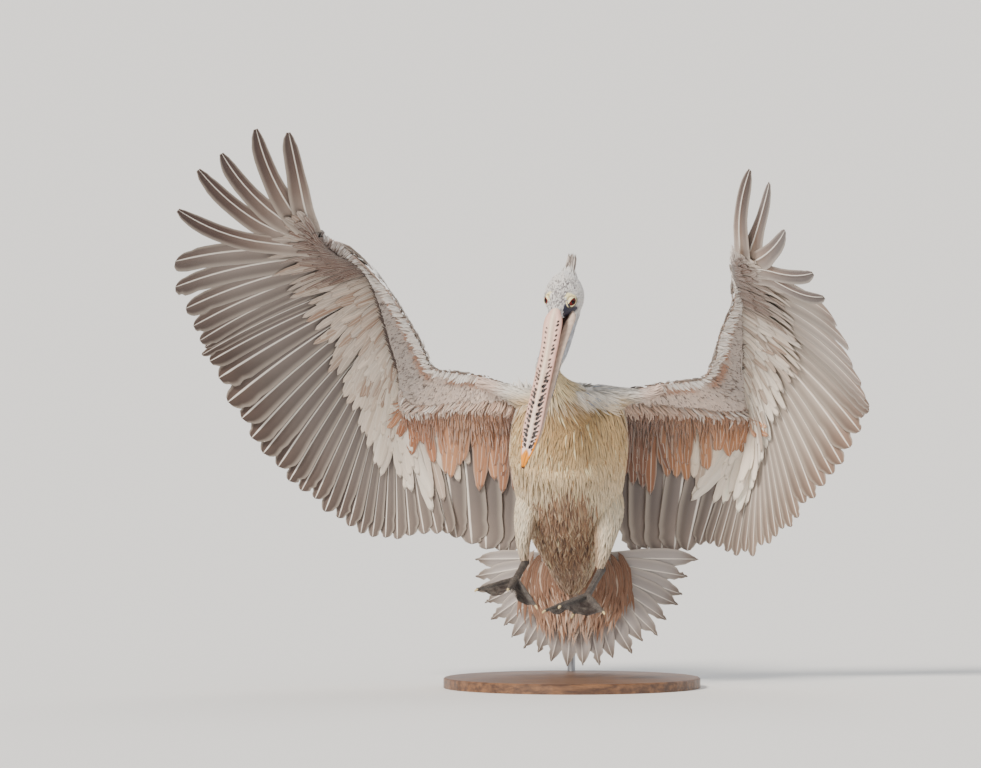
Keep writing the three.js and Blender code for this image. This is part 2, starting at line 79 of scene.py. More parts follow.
lamp("key_light", 5.2, (1.0, 0.93, 0.84), 14, -40, 36)
lamp("fill_light", 0.5, (0.92, 0.95, 1.0), 60, 60, 20)
lamp("back_light", 0.9, (1.0, 0.96, 0.92), 40, 165, 45)

world = bpy.data.worlds.new("studio_air")
world.use_nodes = True
air = world.node_tree.nodes["Background"].inputs
air["Color"].default_value = (0.86, 0.90, 0.95, 1.0)
air["Strength"].default_value = 0.66
bpy.context.scene.world = world

camera = into_scene(bpy.data.objects.new("camera", bpy.data.cameras.new("camera")))
back = Vector((0.0, -math.cos(CAMERA_RISE), math.sin(CAMERA_RISE)))
camera.location = AIM + back * CAMERA_AWAY
camera.rotation_euler = back.to_track_quat("Z", "Y").to_euler()
camera.data.sensor_width = 36.0
camera.data.lens = LENS
camera.data.clip_end = 2000.0
bpy.context.scene.camera = camera


# Finishes: every surface is one Principled shader whose changing values are worked out from
# the piece's own places, its vane map, or the tint that its mesh carries.
def paint(code):
    """A colour written as six hex digits, as linear red, green and blue."""
    value = np.array([int(code[k:k + 2], 16) for k in (0, 2, 4)]) / 255.0
    return np.where(value <= 0.04045, value / 12.92, ((value + 0.055) / 1.055) ** 2.4)


class Level:
    """A shader value that takes part in plain arithmetic."""

    def __init__(self, finish, socket):
        self.finish = finish
        self.socket = socket

    def math(self, operation, *others):
        """One of the shader's own sums, with this value as its first."""
        values = dict(enumerate((self, *others)))
        node = self.finish.add("ShaderNodeMath", {"operation": operation}, values)
        return Level(self.finish, node.outputs[0])

    def __add__(self, other):
        return self.math("ADD", other)

    __radd__ = __add__

    def __mul__(self, other):
        return self.math("MULTIPLY", other)

    def __sub__(self, other):
        return self.math("SUBTRACT", other)

    def __rsub__(self, other):
        return (self * -1.0).math("ADD", other)

    def step(self, low, high):
        """0 below low, 1 above high, a smooth rise between."""
        values = {"Value": self, "From Min": low, "From Max": high}
        node = self.finish.add("ShaderNodeMapRange", {"interpolation_type": "SMOOTHSTEP"}, values)
        return Level(self.finish, node.outputs[0])


class Finish:
    """A material in the making. add() is the one way that a node comes into it."""

    def __init__(self, name, **constants):
        self.material = bpy.data.materials.new(name)
        self.material.use_nodes = True
        self.tree = self.material.node_tree
        self.shader = self.tree.nodes["Principled BSDF"]
        for socket, value in constants.items():
            self.shader.inputs[socket.replace("_", " ")].default_value = value

    def add(self, kind, settings, values):
        """A new node with its settings, and each of its inputs linked or set."""
        node = self.tree.nodes.new(kind)
        for setting, value in settings.items():
            setattr(node, setting, value)
        for place, value in values.items():
            if isinstance(value, Level):
                self.tree.links.new(value.socket, node.inputs[place])
            elif isinstance(value, bpy.types.NodeSocket):
                self.tree.links.new(value, node.inputs[place])
            else:
                node.inputs[place].default_value = value
        return node

    def give(self, socket, value):
        """Feeds one of the shader's own sockets."""
        source = value.socket if isinstance(value, Level) else value
        self.tree.links.new(source, self.shader.inputs[socket])

    def mix(self, share, first, second):
        """A colour between two, each a socket or three numbers."""
        ends = [c if isinstance(c, bpy.types.NodeSocket) else (*c, 1.0) for c in (first, second)]
        settings = {"data_type": "RGBA", "clamp_factor": True}
        return self.add("ShaderNodeMix", settings, {0: share, 6: ends[0], 7: ends[1]}).outputs[2]

    def own_place(self, scale=(1.0, 1.0, 1.0)):
        """The piece's own coordinates in metres, stretched by scale."""
        place = self.add("ShaderNodeTexCoord", {}, {}).outputs["Object"]
        return self.add("ShaderNodeMapping", {}, {"Vector": place, "Scale": scale}).outputs[0]

    def noise(self, place, scale, detail=3.0, rough=0.5):
        """Soft random grain, scale grains to a metre."""
        values = {"Vector": place, "Scale": scale, "Detail": detail, "Roughness": rough}
        return Level(self, self.add("ShaderNodeTexNoise", {}, values).outputs[0])

    def bump(self, height, distance, strength=1.0):
        """Raises the surface in the light by height times distance."""
        values = {"Height": height, "Distance": distance, "Strength": strength}
        self.give("Normal", self.add("ShaderNodeBump", {}, values).outputs[0])

    def map_axes(self, name):
        """The two axes of one of the mesh's maps."""
        node = self.add("ShaderNodeUVMap", {"uv_map": name}, {})
        axes = self.add("ShaderNodeSeparateXYZ", {}, {0: node.outputs[0]})
        return Level(self, axes.outputs[0]), Level(self, axes.outputs[1])

    def tint(self):
        """The colour that the mesh carries at its points."""
        return self.add("ShaderNodeAttribute", {"attribute_name": "tint"}, {}).outputs["Color"]


floor_finish = Finish("studio_paper", Roughness=0.95)
floor_finish.shader.inputs["Base Color"].default_value = (0.80, 0.79, 0.77, 1.0)
paper_place = floor_finish.own_place()
floor_finish.bump(floor_finish.noise(paper_place, 40.0), 0.0004)
floor_mesh.materials.append(floor_finish.material)

# Stand: a turned and oiled wooden disc, and a brushed steel rod screwed up into it. Both are
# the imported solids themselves.
wood = Finish("oiled_walnut", Roughness=0.45, Coat_Weight=0.25, Coat_Roughness=0.3)
ring_place = wood.own_place((1.0, 9.0, 9.0))
grain = wood.noise(ring_place, 14.0, 6.0, 0.6)
pore = wood.noise(wood.own_place((6.0, 160.0, 160.0)), 8.0, 2.0)
wood_colour = wood.mix(grain.step(0.35, 0.65), paint("4a3020"), paint("80593a"))
wood_colour = wood.mix((1.0 - pore.step(0.3, 0.5)) * 0.5, wood_colour, paint("2c1b12"))
wood.give("Base Color", wood_colour)
wood.give("Roughness", 0.38 + grain * 0.2)
wood.bump(pore, 0.0003)
steel = Finish("brushed_steel", Metallic=1.0)
brush = steel.noise(steel.own_place((900.0, 900.0, 12.0)), 3.0, 2.0)
steel.give("Base Color", steel.mix(brush, paint("9a9da1"), paint("c6c9cc")))
steel.give("Roughness", 0.28 + brush * 0.18)
steel.bump(brush, 0.00005)
for node_name, finish in (("stand_base", wood), ("stand_rod", steel)):
    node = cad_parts[node_name]
    node.data.materials.clear()
    node.data.materials.append(finish.material)

# Body: one seamless skin over trunk, neck, head, thighs and the fleshy part of the wings. Each
# part is an oval form along keyed stations, drawn in by the depth of its coat, and the forms
# are then fused and smoothed. Stations: centre x, y, z, half width, half depth.
MM = 0.001
TRUNK = [
    [-2, -90, 518, 34, 16], [-2, -80, 506, 82, 54], [-3, -64, 480, 98, 80],
    [-5, -36, 434, 105, 97], [-6, 0, 376, 101, 96], [-5, 34, 322, 90, 84],
    [-3, 68, 270, 70, 66], [-1, 98, 224, 48, 46], [0, 116, 188, 32, 25], [0, 127, 160, 14, 9],
]
NECK = [
    [-22, -88, 484, 58, 54], [-32, -110, 514, 42, 44], [-41, -132, 546, 24, 33],
    [-42, -141, 568, 22, 29], [-31, -139, 598, 25, 29], [-19, -128, 636, 25, 30],
    [-12, -124, 670, 28, 30], [-12, -134, 690, 22, 22],
]
HEAD = [
    [-31, -200, 652, 13, 9], [-29, -194, 663, 16, 15], [-24, -182, 672, 23, 23],
    [-18, -166, 683, 33, 32], [-14, -148, 691, 35, 41], [-10, -130, 694, 30, 39],
    [-7, -114, 693, 18, 26], [-5, -107, 692, 7, 10],
]
CROWN_PEAK = 0.18
THIGHS = {
    "right": [[-60, 8, 352, 30, 34], [-78, -10, 308, 23, 27], [-85, -22, 262, 14, 17],
              [-84, -22, 232, 9, 10], [-84, -21, 222, 6, 6]],
    "left": [[50, 8, 352, 36, 36], [61, -8, 308, 30, 30], [57, -20, 258, 18, 20],
             [50, -22, 218, 9, 10], [49, -21, 208, 6, 6]],
}
SHOULDERS = {
    "right": [[-24, -62, 494, 38, 30], [-66, -60, 501, 34, 27], [-104, -54, 516, 24, 16],
              [-136, -48, 528, 17, 11], [-166, -42, 538, 11, 8]],
    "left": [[14, -64, 497, 40, 36], [56, -60, 503, 36, 31], [94, -55, 512, 25, 16],
             [128, -50, 514, 17, 11], [158, -46, 525, 11, 8]],
}
HEAD_SIDE = [0.94, -0.34, 0.0]
BODY_SIDE = [1.0, 0.0, 0.0]
AHEAD = [0.0, -1.0, 0.0]
TRUNK_COAT, NECK_COAT, HEAD_COAT, THIGH_COAT, SHOULDER_COAT, WING_COAT = 6.5, 3.2, 1.4, 3.5, 3.0, 2.0
SKIN_VOXEL, SKIN_SMOOTHING = 3.1, 5
ALL_ROUND = 2 * np.pi
NUDGE = 0.05

TERTIALS, SECONDARIES, PRIMARIES, FINGERS = 6, 22, 10, 5
WRIST = TERTIALS + SECONDARIES - 0.5
LAST_INNER = WRIST + PRIMARIES - FINGERS
WING_END = WRIST + PRIMARIES
WINGS = {
    "right": {
        "mirror": 1,
        "lead": [[-0.5, -112, -58, 530], [1.5, -152, -44, 547], [4, -208, -28, 556],
                 [5.5, -238, -20, 561], [8, -256, -20, 590], [14, -276, -26, 628],
                 [22, -318, -44, 694], [27.5, -347, -62, 727], [32.5, -400, -116, 779],
                 [37.5, -459, -198, 818]],
        "bone": [[-0.5, -84, -20, 500], [2.5, -186, 40, 494], [5.5, -284, 108, 488],
                 [14, -312, 62, 574], [27.5, -361, -28, 732], [32.5, -412, -112, 768],
                 [37.5, -448, -184, 798]],
        "tips": [[-0.5, -104, 146, 238], [1, -128, 150, 238], [4, -200, 150, 252],
                 [5.5, -224, 136, 262], [10, -330, 130, 253], [14, -411, 112, 291],
                 [18, -495, 80, 361], [22, -581, 25, 468], [25, -636, -25, 570],
                 [28, -647, -64, 611], [30, -671, -160, 668], [32, -687, -300, 756],
                 [32.5, -690, -340, 790]],
        "palm": [[31.9, -612, -250, 758], [33.5, -589, -292, 808], [34.5, -560, -306, 838],
                 [35.5, -524, -304, 852], [36.5, -489, -292, 856], [37.5, -459, -276, 852]],
        "fingers": [[-680, -404, 846], [-644, -438, 916], [-604, -458, 944],
                    [-545, -462, 986], [-489, -458, 980]],
        "bulges": [[-4, -8, -10], [-5, -8, -8], [-8, -8, -5], [-8, -8, -3], [1, -8, 0]],
    },
    "left": {
        "mirror": -1,
        "lead": [[-0.5, 100, -58, 522], [1.5, 142, -46, 533], [4, 196, -36, 540],
                 [5.5, 226, -32, 546], [8, 244, -42, 574], [14, 254, -62, 612],
                 [22, 268, -96, 652], [27.5, 280, -118, 680], [32.5, 272, -210, 748],
                 [37.5, 276, -300, 792]],
        "bone": [[-0.5, 78, -20, 500], [2.5, 196, 34, 488], [5.5, 313, 98, 478],
                 [14, 306, 40, 546], [27.5, 297, -88, 682], [32.5, 290, -196, 728],
                 [37.5, 287, -272, 758]],
        "tips": [[-0.5, 108, 146, 226], [1, 134, 150, 226], [4, 206, 150, 238],
                 [5.5, 234, 146, 244], [10, 305, 130, 226], [14, 360, 110, 258],
                 [18, 410, 78, 314], [22, 474, 16, 390], [25, 512, -90, 474],
                 [28, 506, -214, 520], [30, 482, -345, 580], [32, 448, -476, 660],
                 [32.5, 440, -500, 682]],
        "palm": [[31.9, 384, -420, 712], [33.5, 360, -440, 738], [34.5, 344, -448, 758],
                 [35.5, 324, -440, 774], [36.5, 302, -420, 782], [37.5, 280, -396, 780]],
        "fingers": [[428, -535, 700], [408, -577, 742], [360, -597, 815],
                    [334, -578, 896], [301, -550, 918]],
        "bulges": [[6, -8, -12], [4, -8, -8], [4, -8, -4], [2, -8, 0], [-10, -8, 0]],
    },
}
for wing in WINGS.values():
    wing["edge"] = wing["tips"][:-1] + wing["palm"][1:]
CAMBER = 0.05
ARM_HALF = [[-0.5, 22], [2.5, 15], [5.5, 10], [10, 9], [14, 11], [27.5, 9], [32.5, 6], [37.5, 4]]


def unit(v):
    """Directions divided by their own length, so that each is one long."""
    return v / np.maximum(np.linalg.norm(v, axis=-1, keepdims=True), 1e-9)


def keyed(rows, place):
    """Smooth curve through keyed rows [place, a, b, ...]: cubic pieces whose slope at a key is
    that of the line between its neighbours. place is an array of any shape."""
    rows = np.asarray(rows, float)
    place = np.asarray(place, float)
    k = np.clip(np.searchsorted(rows[:, 0], place) - 1, 0, len(rows) - 2)
    before, start, end = rows[np.maximum(k - 1, 0)], rows[k], rows[k + 1]
    after = rows[np.minimum(k + 2, len(rows) - 1)]
    span = end[..., :1] - start[..., :1]
    u = np.clip((place[..., None] - start[..., :1]) / span, 0, 1)
    rise_in = (end - before) / (end[..., :1] - before[..., :1]) * span
    rise_out = (after - start) / (after[..., :1] - start[..., :1]) * span
    value = (1 + 2 * u) * (1 - u) ** 2 * start + u * (1 - u) ** 2 * rise_in
    value = value + u * u * (3 - 2 * u) * end + u * u * (u - 1) * rise_out
    return value[..., 1:]


def ease(value, low, high):
    """0 below low, 1 above high, a smooth rise between; high may be the lower of the two."""
    u = np.clip((value - low) / (high - low), 0, 1)
    return u * u * (3 - 2 * u)


def chain(stations, side):
    """A reader of keyed stations: at a place along them, the station there and the directions
    across and over the line that they lie on. Across is the one nearest to side."""
    rows = np.column_stack([np.arange(len(stations)), stations])
    last = len(stations) - 1

    def at(place):
        """Along is the step between points a nudge either way; across is side less what of it
        runs along; the third is square to both."""
        ahead = keyed(rows, np.clip(place + NUDGE, 0, last))[..., :3]
        along = unit(ahead - keyed(rows, np.clip(place - NUDGE, 0, last))[..., :3])
        across = np.broadcast_to(np.array(side, float), along.shape)
        across = unit(across - along * np.sum(across * along, -1, keepdims=True))
        return keyed(rows, place), across, np.cross(along, across)

    return at


def oval_form(stations, side, grow, peak=0.0):
    """An oval form: at a place along its stations and a turn round them, the point at half width
    times cosine along side and half depth times sine across it, with its outward direction.
    peak narrows the form toward a turn of -90 degrees."""
    line = chain(stations, side)

    def at(place, turn):
        """The middle, plus half width times cosine across and half depth times sine over."""
        place, turn = np.broadcast_arrays(place, turn)
        here, across, up = line(place)
        wide, deep = here[..., 3:4] + grow, here[..., 4:5] + grow
        c, s = np.cos(turn)[..., None], np.sin(turn)[..., None]
        wide = wide * (1 - peak * np.maximum(-s, 0) ** 1.5)
        point = here[..., :3] + across * wide * c + up * deep * s
        return point, unit(across * c / wide + up * s / deep)

    return at


def wing_middle(wing, place, at):
    """A point of the wing's middle sheet: at runs 0 to 1 from leading edge to bone, then to 2 at
    the feather tips, straight both ways."""
    bone = keyed(wing["bone"], place)
    tip = keyed(wing["edge"], place)
    inner = keyed(wing["lead"], place)
    share = np.asarray(at, float)[..., None]
    return np.where(share <= 1, inner + (bone - inner) * share, bone + (tip - bone) * (share - 1))


def wing_up(wing, place, at):
    """The direction out of the wing's upper side."""
    out = wing_middle(wing, place + 3, at) - wing_middle(wing, place - 3, at)
    low, high = np.maximum(at - 0.35, 0), np.minimum(at + 0.35, 2)
    back = wing_middle(wing, place, high) - wing_middle(wing, place, low)
    return unit(np.cross(out, back)) * -wing["mirror"]


def wing_form(wing, face, stand=0.0):
    """One face of the wing, 1 for the upper and -1 for the lower: the middle sheet, arched by the
    feathers' camber and lifted by half the wing's thickness, which is greatest along the bone."""
    def at(place, reach):
        """The middle sheet's point, moved out of its upper side by the arch and the lift."""
        place, reach = np.broadcast_arrays(place, reach)
        up = wing_up(wing, place, reach)
        share = np.clip(reach - 1, 0, 1)
        length = np.linalg.norm(keyed(wing["edge"], place) - keyed(wing["bone"], place), axis=-1)
        arch = 4 * CAMBER * length * share * (1 - share)
        swell = np.interp(reach, [0, 0.5, 1, 1.18, 1.3], [0, 0.45, 1, 0.25, 0])
        arm = keyed(ARM_HALF, place)[..., 0] * swell
        own = np.interp(reach, [0, 1, 1.18, 1.6, 2], [2, 0, 3, 2, 0.9])
        lift = arch + face * (own + arm + stand)
        return wing_middle(wing, place, reach) + up * lift[..., None], up * face

    return at


def whole(name, points, quads, tris=None, maps=None, tint=None, smooth=True):
    """A mesh object from whole arrays: points in millimetres, corners of its faces, maps and a
    tint given for each point."""
    tris = np.zeros((0, 3), int) if tris is None else tris
    mesh = bpy.data.meshes.new(name)
    corners = np.concatenate([quads.ravel(), tris.ravel()]).astype(np.int32)
    starts = np.concatenate([4 * np.arange(len(quads)), 4 * len(quads) + 3 * np.arange(len(tris))])
    mesh.vertices.add(len(points))
    mesh.vertices.foreach_set("co", (np.asarray(points) * MM).astype(np.float32).ravel())
    mesh.loops.add(len(corners))
    mesh.loops.foreach_set("vertex_index", corners)
    mesh.polygons.add(len(starts))
    mesh.polygons.foreach_set("loop_start", starts.astype(np.int32))
    mesh.update(calc_edges=True)
    mesh.polygons.foreach_set("use_smooth", np.full(len(starts), smooth))
    for map_name, values in (maps or {}).items():
        layer = mesh.uv_layers.new(name=map_name)
        layer.uv.foreach_set("vector", values[corners].astype(np.float32).ravel())
    if tint is not None:
        give_tint(mesh, tint)
    return into_scene(bpy.data.objects.new(name, mesh))


def give_tint(mesh, tint):
    """Stores a colour for each point of the mesh."""
    colour = np.ones((len(tint), 4), np.float32)
    colour[:, :3] = tint
    mesh.attributes.new("tint", "FLOAT_COLOR", "POINT").data.foreach_set("color", colour.ravel())


def tube_tint(colour):
    """The tints of a closed tube from those of its rings; each end takes its ring's first."""
    return np.concatenate([colour[0, :1], colour.reshape(-1, 3), colour[-1, :1]])


def closed_tube(rings):
    """Points and faces of a stack of rings (rows, sides, 3) whose ends are drawn to a point."""
    rows, sides = rings.shape[:2]
    points = np.concatenate([rings[0].mean(0)[None], rings.reshape(-1, 3), rings[-1].mean(0)[None]])
    quads, tris = ring_faces(rows, sides)
    return points, quads, tris


def ring_faces(rows, sides):
    """Faces between rings of points that lie one after another between two end points."""
    k, s = (g.ravel() for g in np.meshgrid(np.arange(rows - 1), np.arange(sides), indexing="ij"))
    a, b = 1 + k * sides + s, 1 + k * sides + (s + 1) % sides
    quads = np.column_stack([a, b, b + sides, a + sides])
    s = np.arange(sides)
    n, last = (s + 1) % sides, 1 + (rows - 1) * sides
    root = np.column_stack([np.zeros(sides, int), 1 + n, 1 + s])
    tip = np.column_stack([np.full(sides, last + sides), last + s, last + n])
    return quads, np.concatenate([root, tip])


def together(shells):
    """Points and faces of several meshes as those of one."""
    offsets = np.cumsum([0] + [len(points) for points, _, _ in shells])
    quads = [shell[1] + offset for shell, offset in zip(shells, offsets)]
    tris = [shell[2] + offset for shell, offset in zip(shells, offsets)]
    return np.concatenate([points for points, _, _ in shells]), np.concatenate(quads), np.concatenate(tris)


def fused(name, shells, voxel, smoothing):
    """The shells joined into one closed skin by remeshing them in voxels, then smoothed."""
    rough = whole(name + "_rough", *together(shells))
    remesh = rough.modifiers.new("fuse", "REMESH")
    remesh.mode = "VOXEL"
    remesh.voxel_size = voxel * MM
    relax = rough.modifiers.new("relax", "SMOOTH")
    relax.factor = 0.5
    relax.iterations = smoothing
    mesh = bpy.data.meshes.new_from_object(rough.evaluated_get(bpy.context.evaluated_depsgraph_get()))
    mesh.name = name
    bpy.data.objects.remove(rough)
    mesh.polygons.foreach_set("use_smooth", np.ones(len(mesh.polygons), bool))
    return into_scene(bpy.data.objects.new(name, mesh))


def mesh_points(mesh):
    """The mesh's points in millimetres."""
    flat = np.zeros(3 * len(mesh.vertices), np.float32)
    mesh.vertices.foreach_get("co", flat)
    return flat.reshape(-1, 3) / MM


trunk_form = oval_form(TRUNK, BODY_SIDE, -TRUNK_COAT)
neck_form = oval_form(NECK, BODY_SIDE, -NECK_COAT)
head_form = oval_form(HEAD, HEAD_SIDE, -HEAD_COAT, CROWN_PEAK)
thigh_forms = {side: oval_form(rows, BODY_SIDE, -THIGH_COAT) for side, rows in THIGHS.items()}
shoulder_forms = {side: oval_form(rows, AHEAD, -SHOULDER_COAT) for side, rows in SHOULDERS.items()}
fleshy = [(trunk_form, TRUNK), (neck_form, NECK), (head_form, HEAD)]
fleshy += [(thigh_forms[side], THIGHS[side]) for side in WINGS]
fleshy += [(shoulder_forms[side], SHOULDERS[side]) for side in WINGS]
turns = np.linspace(0, ALL_ROUND, 40, endpoint=False)
shells = []
for form, stations in fleshy:
    places = np.linspace(0, len(stations) - 1, 10 * len(stations))
    shells.append(closed_tube(form(places[:, None], turns[None, :])[0]))
FLESH_REACH = np.array([0.0, 0.35, 0.7, 0.92, 1.0, 1.1, 1.2])
for wing in WINGS.values():
    places = np.linspace(-0.5, WING_END, 120)
    upper = wing_form(wing, 1, -WING_COAT)(places[:, None], FLESH_REACH[None, :])[0]
    lower = wing_form(wing, -1, -WING_COAT + 0.5)(places[:, None], FLESH_REACH[None, ::-1])[0]
    rings = np.concatenate([upper, lower], axis=1)
    shells.append(closed_tube(rings if wing["mirror"] > 0 else rings[:, ::-1]))
skin = fused("body_skin", shells, SKIN_VOXEL, SKIN_SMOOTHING)


def fit(made, material, slot, *replaced):
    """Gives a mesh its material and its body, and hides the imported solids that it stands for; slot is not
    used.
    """
    made.data.materials.append(material)
    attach(made, "root")
    if replaced:
        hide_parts(*replaced)


LORES = [
    ((-9, -194, 665), (10, 18, 16), "0a1a36"), ((3, -182, 668), (11, 16, 7), "0a1a36"),
    ((-43, -184, 661), (7, 12, 7), "3c5178"),
]


def toward(first, second, share):
    """A colour on the way from first to second."""
    return first + (second - first) * share[..., None]


def soil_share(x, z):
    """How far the belly is soiled: most down its middle, with a ragged top."""
    half = np.interp(z, [150, 180, 215, 245, 300, 345, 372], [10, 30, 46, 50, 50, 44, 20])
    ragged = 14 * np.sin(x * 0.23) + 9 * np.sin(x * 0.61 + 1)
    return (1 - ease(np.abs(x + 14) - half, -22, 22)) * ease(z + ragged, 396, 338)


def body_tint(point):
    """The bird's markings at a point of skin or coat: golden ochre chest that pales to a cream
    belly with a soiled patch low down, whitish shoulders and back, blue-white neck, white crown,
    dark slaty lores and buff wings, with the bill's shadow painted dark on the upper breast."""
    x, y, z = np.moveaxis(np.asarray(point, float), -1, 0)
    middle_y = np.interp(z, [160, 224, 322, 434, 506, 540], [127, 98, 34, -36, -80, -96])
    front = ease(middle_y - y, -30, 25)
    chest = toward(paint("dccdb0"), paint("c8a672"), ease(z, 290, 480))
    colour = toward(paint("c6c0ba") + 0 * chest, chest, front)
    colour = toward(colour, paint("e6e0d6"), ease(z, 496, 526))
    gold = ease(z, 500, 530) * (1 - ease(np.abs(x + 40), 22, 44)) * front
    colour = toward(colour, paint("dcc698"), gold)
    # a painted shadow of the bill: dark brown on the upper breast below and beside it
    shade = 1 - ease(np.hypot(x + 6, (z - 470) * 0.8), 18, 62)
    colour = toward(colour, paint("86622f"), 0.55 * shade * front)
    colour = toward(colour, paint("93704f"), soil_share(x, z) * front * 0.9)
    colour = toward(colour, paint("c9ccd4"), ease(z, 562, 592) * (1 - ease(np.abs(x + 20), 75, 95)))
    colour = toward(colour, paint("dcd8d4"), ease(z, 640, 672) * (1 - ease(np.abs(x + 20), 60, 80)))
    for centre, reach, tone in LORES:
        away = np.linalg.norm((point - np.array(centre, float)) / np.array(reach, float), axis=-1)
        colour = toward(colour, paint(tone), 1 - ease(away, 0.8, 1.05))
    return toward(colour, paint("ddc3b4"), ease(np.abs(x + 4), 96, 130))


flesh = mesh_points(skin.data)
# The skin that shows in the gaps between the feathers is darkened as painted shade: to 0.45 of its tint
# under the breast and 0.90 elsewhere.
deep_painted_shade = (flesh[:, 2] < 496) & (np.abs(flesh[:, 0]) < 100)
give_tint(skin.data, body_tint(flesh) * np.where(deep_painted_shade[:, None], 0.45, 0.90))
hide = Finish("bird_skin", Roughness=0.6)
pore = hide.noise(hide.own_place(), 900.0, 2.0)
hide.give("Base Color", hide.mix(pore.step(0.3, 0.7) * 0.3, hide.tint(), paint("5b4a44")))
hide.bump(pore, 0.0004)
fit(skin, hide.material, "body_feathers", "trunk", "neck_upper", "neck_lower", "head",
    "thigh_right", "thigh_left", "wing_right_arm", "wing_left_arm")

# Eyes: a dark red-brown iris round a black pupil behind a clear bulge, each turned out and
# forward, in a ring of bare yellowish skin whose lids close over its edge.
EYE_RADIUS = 9.3
EYES = {"right": [-39.6, -171.0, 684.0], "left": [-5.0, -182.0, 682.0]}
GAZES = {"right": [-0.86, -0.50, -0.05], "left": [0.52, -0.85, -0.08]}
SLITS = {"right": [-0.42, 0.68, 0.75], "left": [0.62, 0.36, 0.68]}
PUPIL_EDGE, IRIS_EDGE = 0.40, 0.98
LID_LONG, LID_SHORT, LID_THICK = 8.4, 4.7, 1.2
EYE_PROUD = 4.0
FAR_SIDE = 50


def hump(value, width):
    """1 at 0, falling off smoothly to next to nothing at twice the width on either side."""
    return np.exp(-((value / width) ** 2))


def eye_axes(side):
    """The middle of the ball, and its directions along the gaze, along the slit of the lids and
    across it. The ball is moved along the gaze until it stands proud of the head by its share."""
    gaze = unit(np.array(GAZES[side]))
    gap = head_surface - np.array(EYES[side])
    height = gap @ gaze
    aside = np.linalg.norm(gap - height[:, None] * gaze, axis=1) + FAR_SIDE * (height < 0)
    centre = np.array(EYES[side]) + gaze * (height[np.argmin(aside)] - EYE_RADIUS + EYE_PROUD)
    long_way = np.array(SLITS[side])
    long_way = unit(long_way - gaze * (long_way @ gaze))
    return centre, gaze, long_way, np.cross(gaze, long_way)


def eyeball(name, centre, gaze, long_way, short_way):
    """A ball in rings round the gaze, with a low bulge in front. Its tint goes by the angle from
    the gaze: pupil, iris with fine rays, then the dark edge of the white."""
    polar = np.linspace(0.02, np.pi - 0.02, 40)[:, None]
    turn = np.linspace(0, ALL_ROUND, 48, endpoint=False)[None, :]
    radius = EYE_RADIUS * 0.97 + 0.5 * hump(polar, 0.45) + 0 * turn
    spread = radius * np.sin(polar)
    ball = (
        centre + (radius * np.cos(polar))[..., None] * gaze
        + (spread * np.cos(turn))[..., None] * long_way + (spread * np.sin(turn))[..., None] * short_way
    )
    iris = paint("6d0f0a") * (0.8 + 0.2 * np.cos(24 * turn))[..., None] * np.ones((40, 1, 1))
    iris = iris * (0.5 + 0.5 * ease(polar, 0.95, 0.7))[..., None]
    iris = np.where(polar[..., None] < PUPIL_EDGE, paint("020202"), iris)
    iris = np.where(polar[..., None] > IRIS_EDGE, paint("2a1410"), iris)
    return whole(name, *closed_tube(ball), tint=tube_tint(iris))


def lid_skin(out, turn, centre, gaze, long_way, short_way):
    """The bare skin round the eye: out 0 on the edge of the lids, 0.2 on their fold, 1 where it
    goes in under the face feathers. Lids follow the ball, the rest follows the head."""
    brow = np.sign(short_way[2])
    reach = LID_LONG + 5.0 * out
    flat = LID_SHORT + (6.0 + 8.0 * np.maximum(brow * np.sin(turn + 0.35 * brow), 0)) * out
    a, b = reach * np.cos(turn), flat * np.sin(turn)
    ball_height = np.sqrt(np.maximum((EYE_RADIUS + 0.5) ** 2 - a * a - b * b, 4.0))
    base = centre + a[..., None] * long_way + b[..., None] * short_way
    gap = head_surface - centre
    facing = gap[(gap @ gaze) > -2]
    flat_a, flat_b, height = facing @ long_way, facing @ short_way, facing @ gaze
    near = np.argmin((a.ravel()[:, None] - flat_a) ** 2 + (b.ravel()[:, None] - flat_b) ** 2, axis=1)
    face_height = height[near].reshape(a.shape) + 1.2 * (1 - ease(out, 0.75, 1.0)) - 0.6
    fold = 0.9 * hump(out - 0.16, 0.09) - 0.5 * hump(out - 0.34, 0.08)
    face_share = ease(out, 0.12, 0.62)
    up = ball_height * (1 - face_share) + face_height * face_share
    return base + (up + fold)[..., None] * gaze


def eyelids(name, axes):
    """A closed band: rings of lid skin from the slit outward, then one ring back at each rim a
    lid's thickness further in. Yellowish, with a dark rim and slate below the eye."""
    gaze, short_way = axes[1], axes[3]
    out = np.concatenate([[0.0, 0.03, 0.07], np.linspace(0.12, 1, 16)])[:, None]
    turn = np.linspace(0, ALL_ROUND, 64, endpoint=False)[None, :]
    outer = lid_skin(out + 0 * turn, turn + 0 * out, *axes)
    inner = outer - LID_THICK * gaze
    rings = np.concatenate([inner[:1], outer, inner[-1:]])
    colour = np.broadcast_to(paint("fbedb6"), outer.shape)
    colour = np.where(out[..., None] < 0.05, paint("4a3324"), colour)
    lower = ease(-np.sign(short_way[2]) * np.sin(turn), -0.35, 0.3)
    colour = toward(colour, paint("141d30"), lower * ease(out, 0.40, 0.55))
    colour = np.concatenate([colour[:1], colour, colour[-1:]])
    rows, sides = rings.shape[:2]
    k, s = (g.ravel() for g in np.meshgrid(np.arange(rows), np.arange(sides), indexing="ij"))
    after, n = (k + 1) % rows, (s + 1) % sides
    quads = np.column_stack([k * sides + s, after * sides + s, after * sides + n, k * sides + n])
    return whole(name, rings.reshape(-1, 3), quads, tint=colour.reshape(-1, 3))


